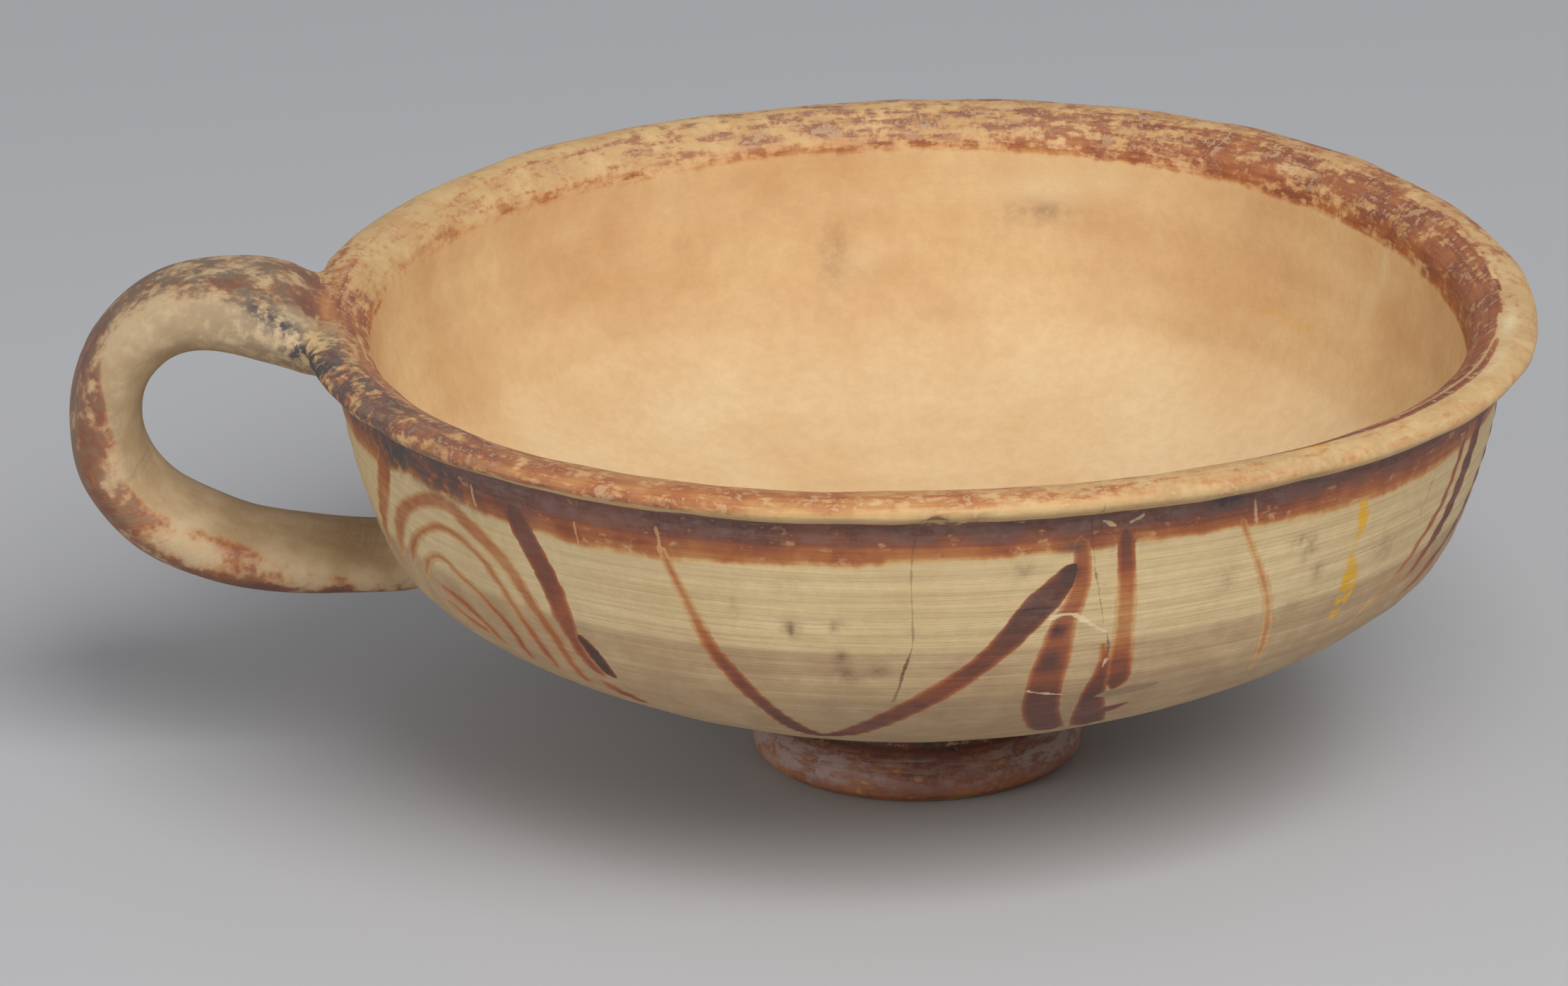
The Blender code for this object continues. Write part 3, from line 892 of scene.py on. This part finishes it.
inner_edge_to = -INNER_TOP + by_azimuth(
    (0, 2.0), (30, 1.5), (90, 0.6), (130, 0.9), (150, 0.4), (180, 0.2), (300, 0.4), (335, 1.4),
)
inner_edge_depth = np.minimum(round_lip - inner_edge_from, inner_edge_to - round_lip)
inner_edge_slip = by_azimuth(
    (0, 0.54), (25, 0.50), (60, 0.50), (95, 0.44), (130, 0.36), (160, 0.30), (185, 0.48),
)
cover(inner_edge_depth - off_strap, inner_edge_slip, inner_edge_worn)
soft += on_lip * by_azimuth(
    (0, 0.0), (30, 0.1), (60, 0.4), (90, 0.7), (150, 0.8), (180, 0.4), (200, 0.1), (230, 0.2),
    (300, 0.3),
)
haze += 0.8 * on_lip * by_azimuth(
    (0, 0.25), (30, 0.35), (60, 0.3), (78, 0.9), (105, 1.0), (122, 0.8), (140, 0.2), (190, 0.4),
    (215, 0.7), (240, 0.3), (270, 0.1), (330, 0.0),
)
soot += by_azimuth(
    (186, 0.0), (193, 0.9), (206, 1.1), (216, 0.8), (226, 0.3), (236, 0.0), (360, 0.0),
) * smooth_step(round_lip, -5.0, -2.0) * smooth_step(LIP_ROUND - round_lip, 0.0, 2.0)
soot += gathered(
    (299.4, 0.2, 2.0, 1.0, 1.4), (211.5, 2.6, 2.4, 1.6, 1.0), (221.0, 3.0, 5.0, 2.4, 0.6),
    (284.9, 3.0, 1.6, 0.8, 0.9), (289.8, 3.0, 1.4, 1.3, 0.9),
)

# The foot: near-black slip in the neck's groove, partly paint and partly painted shade where the
# bowl shades the neck, then a thinner hazy slip that turns orange at the edge
foot_run = down - WALL_LENGTH
foot_length = travelled(foot_outline)[-1]
foot_depth = np.minimum(foot_run + 0.8, foot_length - 0.5 - foot_run)
foot_stops = (0.0, 2.6, 3.6, foot_length - 3.7, foot_length - 2.3)
foot_slip = np.interp(foot_run, foot_stops, (0.92, 0.90, 0.66, 0.62, 0.42))
foot_worn = np.interp(foot_run, (0.0, 1.8, 2.6, 3.4, foot_length), (0.26, 0.26, 0.12, 0.04, 0.10))
cover(foot_depth, foot_slip, foot_worn)
on_foot_face = smooth_step(foot_run, 2.8, 3.8) * smooth_step(foot_length - foot_run, 0.8, 3.8)
# The lilac is strongest on the foot's left and right and weakest in front: painted sheen
haze += on_foot_face * by_azimuth(
    (200, 1.8), (238, 1.6), (258, 0.9), (284, 0.8), (300, 1.6), (340, 1.8),
)
soft += 0.8 * smooth_step(foot_run, -2.0, 0.0)

# The handle's back, out to where the brush went round it: past the near side lower down
round_strap = np.degrees(np.arctan2(
    np.abs(strap_across) / (STRAP_WIDTH / 2),
    strap_lift / (STRAP_THICKNESS / 2),
))
near_edge = by_run(
    (0.0, 60), (0.11, 56), (0.22, 44), (0.27, 40), (0.31, 54), (0.36, 90), (0.42, 114),
    (0.54, 116), (0.61, 124), (0.69, 128), (0.78, 110), (0.9, 84), (1.0, 66),
)
far_edge = by_run((0.0, 58), (0.3, 48), (0.5, 70), (0.8, 82), (1.0, 60))
strap_edge = np.where(strap_across > 0, near_edge, far_edge)
strap_depth = np.minimum((strap_edge - round_strap) * STRAP_EDGE_STRETCH, (0.95 - strap_run) * 60.0)
on_back = smooth_step(-round_strap, -86.0, -60.0)
strap_worn = by_run(
    (0.0, 0.40), (0.1, 0.50), (0.2, 0.52), (0.34, 0.46), (0.45, 0.44), (0.6, 0.60), (0.9, 0.62),
)
strap_worn = strap_worn - 0.42 * on_back * smooth_step(strap_run, 0.36, 0.55)
soft += 0.65 * on_strap
strap_slip = by_run((0.0, 0.46), (0.1, 0.50), (0.3, 0.52), (0.45, 0.48), (0.7, 0.36), (0.9, 0.5))
strap_slip = strap_slip + 0.25 * on_back * smooth_step(strap_run, 0.4, 0.6)
haze += on_strap * by_run(
    (0.0, 0.0), (0.05, 0.7), (0.12, 1.7), (0.3, 1.6), (0.5, 1.0), (0.62, 0.5), (0.8, 0.4),
)
cover(strap_depth - STRAP_CUT * on_body, strap_slip, strap_worn)
strap_soot = by_run((0.0, 0.1), (0.05, 0.3), (0.12, 0.45), (0.25, 0.45), (0.36, 0.3), (0.48, 0.0))
soot += on_strap * strap_soot * smooth_step(strap_depth, 0.0, 2.0)


def gap_to(*places):
    """How far each point is from a line through places given in millimetres."""
    gap = np.full(len(points), np.inf)
    for start, end in zip(np.array(places), np.array(places[1:])):
        span = end - start
        share = np.clip((points - start) @ span / (span @ span), 0.0, 1.0)[:, None]
        gap = np.minimum(gap, np.linalg.norm(points - start - share * span, axis=1))
    return gap


# Soot gathered along the joint of handle and lip, and a bare corner of pale clay above it
joint_gap = gap_to(
    (-66.4, -10.0, 52.1), (-64.0, -11.2, 51.0), (-62.9, -12.3, 49.5), (-62.5, -12.8, 48.3),
    (-60.6, -17.4, 48.2), (-60.1, -19.5, 48.1), (-59.2, -21.5, 49.1),
)
corner_gap = gap_to((-62.6, -9.6, 51.2), (-60.0, -12.6, 49.8), (-60.2, -14.6, 49.4))
soot += 0.9 * np.exp(-((joint_gap / 1.2) ** 2))
cover(np.where(joint_gap < 3.0, 1.1 - joint_gap, OUT_OF_REACH), 0.72, 0.40)
wear += 0.8 * np.exp(-((corner_gap / 2.4) ** 2)) + gathered(
    (184.0, -7.4, 5.0, 3.0, -0.3), (272.6, -2.4, 2.6, 1.6, 0.7), (275.0, -3.2, 2.0, 1.0, 0.6),
)
# Lilac bloom over the top of the arcs' bar, and painted sheen over the end of the swag
haze += gathered((281.6, 9.4, 3.6, 5.0, 0.5), (231.0, 5.0, 2.4, 4.0, 0.5))
for name, values in (
    ("paint", paint), ("slip", slip), ("wear", wear), ("soft", soft), ("haze", haze), ("soot", soot),
):
    keep_values(name, values)

# Marks of age: hairline cracks down the front, with a painted shadow along a flake's edge, the pale
# edges of fragments, brush ticks through the band, grey stains mixed with painted shade, a filled
# repair, and a few dabs of yellow on the side and the lip. The last value of each knot is how
# strongly the mark shows.
marks = {
    "crack": (
        ((270.2, 0.0, 0.10, 0.5), (269.6, 2.9, 0.10, 0.5), (269.5, 6.4, 0.09, 0.4),
         (269.6, 10.6, 0.09, 0.4), (269.6, 13.6, 0.10, 0.5), (269.1, 15.4, 0.14, 0.8),
         (268.7, 16.6, 0.18, 0.9), (268.2, 19.0, 0.14, 0.7), (267.4, 21.4, 0.10, 0.4)),
        ((286.8, -8.0, 0.10, 0.4), (286.2, -0.5, 0.10, 0.6), (286.4, 2.8, 0.10, 0.6),
         (286.8, 6.0, 0.10, 0.6), (287.5, 9.3, 0.10, 0.6), (288.1, 12.4, 0.10, 0.5)),
        # A painted shadow along the flake's lower edge, below the pale ridge
        ((288.5, 13.6, 0.10, 0.5), (289.0, 15.2, 0.18, 0.7), (288.8, 17.3, 0.12, 0.5)),
        ((270.3, -0.4, 0.12, 0.6), (270.7, -2.4, 0.16, 0.7), (271.2, -4.4, 0.16, 0.7),
         (273.0, -3.4, 0.14, 0.6), (275.6, -2.4, 0.12, 0.5)),
        ((327.5, 4.5, 0.12, 0.35), (326.8, 7.0, 0.12, 0.3), (326.4, 9.5, 0.1, 0.25)),
    ),
    "pale": (
        tuple((*place_on_edge, 0.26, 1.0) for place_on_edge in fragment_edge),
        ((288.9, 16.6, 0.22, 0.9), (288.6, 17.8, 0.22, 0.9)),
        ((281.0, 20.3, 0.15, 0.7), (282.8, 20.9, 0.18, 0.8), (284.9, 21.3, 0.14, 0.7)),
        ((224.6, 1.6, 0.22, 0.2), (224.8, 3.9, 0.20, 0.3)),
        ((237.2, 2.4, 0.18, 0.2), (237.4, 5.2, 0.16, 0.3)),
        ((245.8, 1.4, 0.22, 0.2), (246.1, 4.2, 0.24, 0.3)),
        ((302.6, 0.8, 0.20, 0.3), (303.0, 3.4, 0.20, 0.4)),
        ((287.4, 0.5, 0.16, 0.7), (288.6, 1.3, 0.24, 0.8)),
        ((290.0, 1.0, 0.20, 0.7), (291.5, 0.4, 0.16, 0.6)),
    ),
    "yellow": (
        ((315.8, 4.5, 0.7, 0.8), (316.4, 5.9, 0.8, 1.0), (316.3, 8.0, 0.5, 0.6), (315.2, 9.9, 0.3, 0.3)),
        ((315.9, 10.8, 0.6, 0.7), (316.7, 13.4, 1.1, 1.0), (316.8, 15.6, 1.1, 1.0),
         (316.0, 18.2, 0.5, 0.7)),
        ((305.6, -7.9, 0.5, 0.3), (309.2, -7.6, 0.7, 0.5)),
        ((47.5, INNER_TOP - 13.2, 0.5, 0.15), (39.0, INNER_TOP - 13.4, 0.9, 0.2)),
    ),
    "repair": (
        ((289.6, 22.6, 0.8, 1.0), (292.5, 22.2, 1.0, 1.0), (295.4, 21.8, 0.4, 1.0)),
    ),
}
for name, group in marks.items():
    strokes = Strokes()
    for knots in group:
        strokes.lay(brush_line(knots))
    strokes.keep(name)


def spread_of(spots):
    """The strongest of several soft spots of azimuth, distance down, width, height and strength."""
    total = np.zeros(len(points))
    for spot in spots:
        total = np.maximum(total, spot[4] * near_spot(*spot[:4]))
    return total


# Dark spots: stains, with painted shade along the lip's lower face and left of the dried drop inside
keep_values("stain", spread_of((
    (258.0, 12.0, 0.6, 1.0, 1.1), (262.1, 11.5, 0.5, 0.6, 0.9), (262.7, 15.2, 0.7, 0.8, 0.9),
    (263.2, 17.4, 1.2, 0.9, 0.9), (266.1, 17.2, 1.0, 0.6, 0.8), (252.7, 9.0, 0.6, 1.8, 0.25),
    (308.4, 6.4, 1.0, 0.8, 0.7), (309.8, 7.8, 0.9, 1.3, 0.8), (311.3, 10.9, 0.9, 1.2, 0.5),
    (308.7, 15.0, 1.4, 1.8, 0.35), (321.0, 11.0, 2.4, 1.8, 0.35), (280.0, 5.0, 1.2, 1.2, 0.5),
    (258.0, 6.6, 1.4, 0.8, 0.3), (300.5, 9.0, 1.0, 2.4, 0.3), (40.0, 9.0, 1.4, 1.2, 0.5),
    (96.0, 14.0, 1.0, 1.4, 0.5), (150.0, 12.0, 1.4, 1.2, 0.4), (25.0, 18.0, 1.2, 0.9, 0.4),
    (75.6, INNER_TOP - 6.8, 3.4, 1.1, 0.55), (99.2, INNER_TOP - 11.6, 1.0, 2.8, 0.5),
    (272.0, -4.2, 1.6, 1.2, 0.75), (275.2, -4.0, 1.6, 0.9, 0.60), (292.0, -4.6, 4.5, 1.3, 0.30),
    (300.0, -4.6, 4.5, 1.3, 0.36), (308.0, -4.6, 4.5, 1.3, 0.36), (316.0, -4.6, 4.5, 1.3, 0.25),
)))
keep_values("thick", spread_of((
    (283.5, 12.7, 0.8, 0.8, 0.7), (283.0, 16.2, 1.2, 1.3, 0.4), (284.6, 5.9, 0.9, 0.9, 0.5),
    (236.2, 19.4, 0.8, 1.4, 0.3),
)))
keep_values("light", spread_of((
    (28.0, INNER_TOP - 3.6, 0.9, 2.0, 0.9), (30.0, INNER_TOP - 8.2, 0.8, 2.6, 0.9),
    (25.3, INNER_TOP - 4.6, 1.4, 1.0, 0.5), (75.0, INNER_TOP - 4.2, 4.5, 1.8, 0.7),
    (69.0, INNER_TOP - 3.0, 3.0, 1.4, 0.5), (96.0, INNER_TOP - 13.2, 2.4, 1.4, 0.6),
    (350.0, -7.9, 4.0, 0.8, 1.0), (338.0, -7.4, 4.0, 0.8, 0.9), (5.0, -8.7, 4.0, 0.9, 0.9),
    (46.7, -10.6, 3.0, 1.6, 0.7),
)))

# What each part of the skin is: warm towards the inside, deep on its floor, and low on the
# outside, from about fourteen millimetres down, where the cream is darkened as painted shade
warm_share = 0.7 * smooth_step(round_lip, 1.5, 5.0)
warm_share += 0.3 * smooth_step(round_lip, LIP_ROUND, -INNER_TOP)
keep_values("down", down)
keep_values("warm", warm_share * on_body)
keep_values("deep", smooth_step(inside_depth, 12.0, 27.0))
keep_values("strap", on_strap)
keep_values("lip", smooth_step(round_lip, 1.5, 3.5) * smooth_step(-inside_depth, -0.5, 1.5) * on_body)
keep_values("low", smooth_step(down, 13.8, 15.4) * on_body)

# The finish: buff earthenware under a smoothed cream slip, warmer and unpainted inside. The slips
# have a faint lustre where they are thick, and the worn places are dull.
fired = bpy.data.materials.new("painted_clay")
fired.use_nodes = True
nodes = fired.node_tree.nodes
links = fired.node_tree.links
shader = nodes["Principled BSDF"]


def tint(red, green, blue):
    """A colour as the eye names it, from 0 to 255, turned into light."""
    def light(value):
        value = value / 255
        return value / 12.92 if value <= 0.04045 else ((value + 0.055) / 1.055) ** 2.4
    return (light(red), light(green), light(blue), 1.0)


def node(kind, sockets=(), **settings):
    """A new node's outputs, with its sockets linked to other nodes or set to plain values."""
    made = nodes.new("ShaderNode" + kind)
    for name, value in settings.items():
        setattr(made, name, value)
    for key, value in sockets:
        if isinstance(value, bpy.types.NodeSocket):
            links.new(value, made.inputs[key])
        else:
            made.inputs[key].default_value = value
    return made.outputs


def plus(a, b):
    return node("Math", enumerate((a, b)), operation="ADD")[0]


def minus(a, b):
    return node("Math", enumerate((a, b)), operation="SUBTRACT")[0]


def times(a, b):
    return node("Math", enumerate((a, b)), operation="MULTIPLY")[0]


def larger(a, b):
    return node("Math", enumerate((a, b)), operation="MAXIMUM")[0]


def fade(value, low, high):
    """Nothing at the low value, rising smoothly to one at the high value."""
    return node("MapRange", enumerate((value, low, high)), interpolation_type="SMOOTHSTEP")[0]


def blend(share, first, second):
    return node("Mix", ((0, share), (6, first), (7, second)), data_type="RGBA")[2]


def blend_value(share, first, second):
    return node("Mix", ((0, share), (2, first), (3, second)), data_type="FLOAT")[0]


def read(name):
    return node("Attribute", attribute_name=name)["Fac"]


def mottle(where, scale, detail=3.0, roughness=0.55):
    """Cloudy variation from nothing to one."""
    sockets = (("Vector", where), ("Scale", scale), ("Detail", detail), ("Roughness", roughness))
    return fade(node("TexNoise", sockets)[0], 0.3, 0.7)


spot = node("TexCoord")["Object"]
east, north, _ = node("SeparateXYZ", ((0, spot),))
fall = read("down")


def turned_mottle(stretch, fineness, detail, roughness):
    """Variation drawn out round the axis, as the wheel and the brush leave it."""
    stretched = (times(east, stretch), times(north, stretch), times(fall, fineness))
    return mottle(node("CombineXYZ", enumerate(stretched))[0], 1.0, detail, roughness)


cloudy = mottle(spot, 55.0)
blotchy = mottle(spot, 210.0, 3.0, 0.6)
fine = mottle(spot, 750.0, 3.0, 0.68)
lines = turned_mottle(42.0, 2.1, 3.0, 0.62)
broad_lines = turned_mottle(25.0, 0.3, 2.0, 0.5)
rubbed = turned_mottle(230.0, 0.9, 3.0, 0.62)

# Pale slip outside, with the fine lines of the turning tool and the brush
cream = blend(cloudy, tint(221, 195, 147), tint(208, 180, 132))
cream = blend(times(lines, 0.36), cream, tint(176, 149, 106))
cream = blend(times(broad_lines, 0.22), cream, tint(226, 203, 158))
# Darker, browner cream low on the outside: painted shade
lower_shade_share = plus(0.5, times(blotchy, 0.3))
cream = blend(times(read("low"), lower_shade_share), cream, tint(166, 134, 102))
strap_clay = blend(blotchy, tint(196, 171, 134), tint(177, 149, 112))
cream = blend(read("strap"), cream, strap_clay)

# The inside, warmer, softly mottled, and paler on the floor
wall_clay = blend(cloudy, tint(223, 188, 138), tint(207, 164, 115))
floor_clay = blend(cloudy, tint(224, 196, 152), tint(216, 181, 134))
warm = blend(read("deep"), wall_clay, floor_clay)
warm = blend(times(broad_lines, 0.05), warm, tint(206, 164, 112))
ground = blend(read("warm"), cream, warm)
lip_clay = blend(blotchy, tint(212, 179, 127), tint(194, 157, 106))
ground = blend(read("lip"), ground, lip_clay)
ground = blend(times(fine, 0.14), ground, tint(160, 124, 84))
ground = blend(times(read("light"), plus(0.3, times(fine, 0.6))), ground, tint(232, 214, 172))
# Stains over the ground, with painted shade under the lip and beside the dried drop
ground = blend(times(read("stain"), plus(0.35, times(fine, 0.65))), ground, tint(112, 84, 62))


def stroke_inside(name):
    side = node("Math", ((0, read(name + "_side")),), operation="ABSOLUTE")[0]
    return minus(read(name + "_half"), side)


# The painted shapes. A stroke's edge is nearly clean, a ground's wanders as the brush came round
ragged = minus(fine, 0.5)
first_depth = stroke_inside("first")
second_depth = stroke_inside("second")
stroke_depth = plus(larger(first_depth, second_depth), times(ragged, 0.10))
second_over = fade(minus(second_depth, first_depth), -0.05, 0.05)
stroke_slip = blend_value(second_over, read("first_slip"), read("second_slip"))
stroke_share = fade(stroke_depth, -0.14, 0.16)
ground_depth = plus(read("paint"), plus(times(minus(blotchy, 0.5), 0.24), times(ragged, 0.16)))
ground_share = fade(ground_depth, -0.22, 0.26)
thickness = blend_value(stroke_share, read("slip"), stroke_slip)
painted_depth = blend_value(stroke_share, ground_depth, stroke_depth)

# Slip runs thin at a shape's edge and pools unevenly inside it
thin_edge = times(minus(1.0, fade(painted_depth, 0.0, 0.7)), 0.30)
pool_size = blend_value(stroke_share, 0.26, 0.14)
pooled = times(plus(minus(blotchy, 0.5), times(minus(lines, 0.5), 0.6)), pool_size)
thickness = minus(plus(plus(thickness, pooled), read("thick")), thin_edge)
colours = nodes.new("ShaderNodeValToRGB")
slip_colours = (
    (0.00, tint(208, 163, 105)),
    (0.18, tint(190, 135, 82)),
    (0.36, tint(174, 107, 62)),
    (0.56, tint(147, 83, 54)),
    (0.76, tint(114, 67, 51)),
    (1.00, tint(80, 56, 48)),
)
while len(colours.color_ramp.elements) < len(slip_colours):
    colours.color_ramp.elements.new(0.5)
for element, (position, colour) in zip(colours.color_ramp.elements, slip_colours):
    element.position = position
    element.color = colour
links.new(thickness, colours.inputs["Fac"])
dusting = plus(times(fade(rubbed, 0.15, 0.85), 0.48), times(fade(fine, 0.5, 0.9), 0.28))
bloom_and_sheen_share = times(read("haze"), plus(0.12, dusting))
# Paler lilac on the low outside and the foot: painted light, for the brighter light on the foot
bloom_and_sheen_tint = blend(read("low"), tint(136, 106, 96), tint(174, 147, 136))
bloom_and_sheen_tint = blend(read("strap"), bloom_and_sheen_tint, tint(140, 118, 92))
painted = blend(bloom_and_sheen_share, colours.outputs[0], bloom_and_sheen_tint)

# Wear thins the grounds first to a stain in the clay, and then in flecks to the clay itself
long_flecks = plus(times(rubbed, 0.55), times(fine, 0.45))
round_flecks = plus(times(blotchy, 0.6), times(fine, 0.4))
left_over = minus(blend_value(read("strap"), long_flecks, round_flecks), read("wear"))
thinned = fade(left_over, -0.24, 0.22)
chipped = blend_value(read("soft"), fade(left_over, -0.36, -0.22), fade(left_over, -0.56, 0.30))
stained = blend(plus(0.30, times(blotchy, 0.3)), ground, tint(202, 142, 92))
ground_cover = times(ground_share, chipped)
skin_colour = blend(ground_cover, ground, blend(thinned, stained, painted))
stroke_cover = times(stroke_share, plus(0.74, times(0.26, fade(thickness, 0.0, 0.4))))
skin_colour = blend(stroke_cover, skin_colour, painted)


def mark_share(name, softness):
    """Where a mark of age shows, and how strongly."""
    ragged_depth = plus(stroke_inside(name), times(ragged, 0.14))
    return times(fade(ragged_depth, -softness, softness), read(name + "_slip"))


# Over the paint come specks rubbed bare on the lip, soot, the repair, the pale edges, the cracks
# with the painted shadow along the flake's edge, and last the dabs of yellow
rubbed_bare = times(fade(fine, 0.66, 0.82), times(read("lip"), fade(blotchy, 0.35, 0.75)))
sooty = times(read("soot"), fade(plus(fine, times(blotchy, 0.6)), 0.15, 1.1))
pale_share = fade(plus(stroke_inside("pale"), times(ragged, 0.2)), -0.10, 0.10)
pale_tint = blend(read("pale_slip"), tint(198, 138, 84), tint(228, 206, 162))
for share, colour in (
    (times(rubbed_bare, 0.45), tint(216, 184, 140)),
    (times(sooty, 0.75), tint(78, 73, 73)),
    (mark_share("repair", 0.3), tint(160, 132, 102)),
    (times(pale_share, 0.8), pale_tint),
    (mark_share("crack", 0.07), tint(104, 76, 54)),
    (times(mark_share("yellow", 0.25), fade(fine, 0.15, 0.5)), tint(222, 168, 40)),
):
    skin_colour = blend(share, skin_colour, colour)
links.new(skin_colour, shader.inputs["Base Color"])

covered = larger(stroke_cover, times(ground_cover, thinned))
dullness = blend_value(covered, plus(0.62, times(fine, 0.12)), plus(0.42, times(rubbed, 0.2)))
links.new(dullness, shader.inputs["Roughness"])
shader.inputs["Specular IOR Level"].default_value = 0.35
surface = plus(times(lines, minus(0.6, times(read("warm"), 0.5))), times(fine, 0.4))
bump = nodes.new("ShaderNodeBump")
bump.inputs["Strength"].default_value = 0.4
bump.inputs["Distance"].default_value = 0.00015
links.new(surface, bump.inputs["Height"])
links.new(bump.outputs[0], shader.inputs["Normal"])

skin.materials.clear()
skin.materials.append(fired)
cup = bpy.data.objects.new("painted_cup", skin)
bpy.context.collection.objects.link(cup)
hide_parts("cup")
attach(cup, "root")

# The floor: a plain pale studio surface, which carries on behind the cup as an even backdrop.
FLOOR_HALF = 3.0
floor_corners = [(x * FLOOR_HALF, y * FLOOR_HALF, 0.0) for x, y in ((-1, -1), (1, -1), (1, 1), (-1, 1))]
floor_mesh = bpy.data.meshes.new("floor")
floor_mesh.from_pydata(floor_corners, [], [(0, 1, 2, 3)])
floor = bpy.data.objects.new("floor", floor_mesh)
bpy.context.collection.objects.link(floor)
paper = bpy.data.materials.new("pale_paper")
paper.use_nodes = True
paper_shader = paper.node_tree.nodes["Principled BSDF"]
paper_shader.inputs["Base Color"].default_value = (0.50, 0.50, 0.51, 1.0)
paper_shader.inputs["Roughness"].default_value = 0.9
floor_mesh.materials.append(paper)

# The light: one large soft lamp high in front on the right, a weaker one on the left, and a pale
# room all round.
studio = bpy.data.worlds.new("studio")
bpy.context.scene.world = studio
studio.use_nodes = True
room = studio.node_tree.nodes["Background"]
room.inputs["Color"].default_value = (0.80, 0.82, 0.86, 1.0)
room.inputs["Strength"].default_value = 0.40
bpy.context.scene.view_settings.view_transform = "Standard"


def soft_lamp(name, position, size, power):
    lamp = bpy.data.lights.new(name, "AREA")
    lamp.size = size
    lamp.energy = power
    item = bpy.data.objects.new(name, lamp)
    bpy.context.collection.objects.link(item)
    item.location = position
    item.rotation_euler = (-Vector(position)).to_track_quat("-Z", "Y").to_euler()


soft_lamp("key_lamp", position=(0.32, -0.72, 0.86), size=0.70, power=10.8)
soft_lamp("fill_lamp", position=(-0.85, -0.75, 0.35), size=0.8, power=3.4)

# The camera: the photograph's own place, looking down at the cup from the front, a long lens.
CAMERA_PLACE = (0.0, -0.82416, 0.32009)
CAMERA_TURN = (70.4936, 0.8064, 0.6591)
FRAME_WIDTH = 36.0
LENS = 194.595
camera = bpy.data.objects.new("camera", bpy.data.cameras.new("camera"))
bpy.context.collection.objects.link(camera)
camera.location = CAMERA_PLACE
camera.rotation_euler = [math.radians(degrees) for degrees in CAMERA_TURN]
camera.data.sensor_width = FRAME_WIDTH
camera.data.lens = LENS
bpy.context.scene.camera = camera
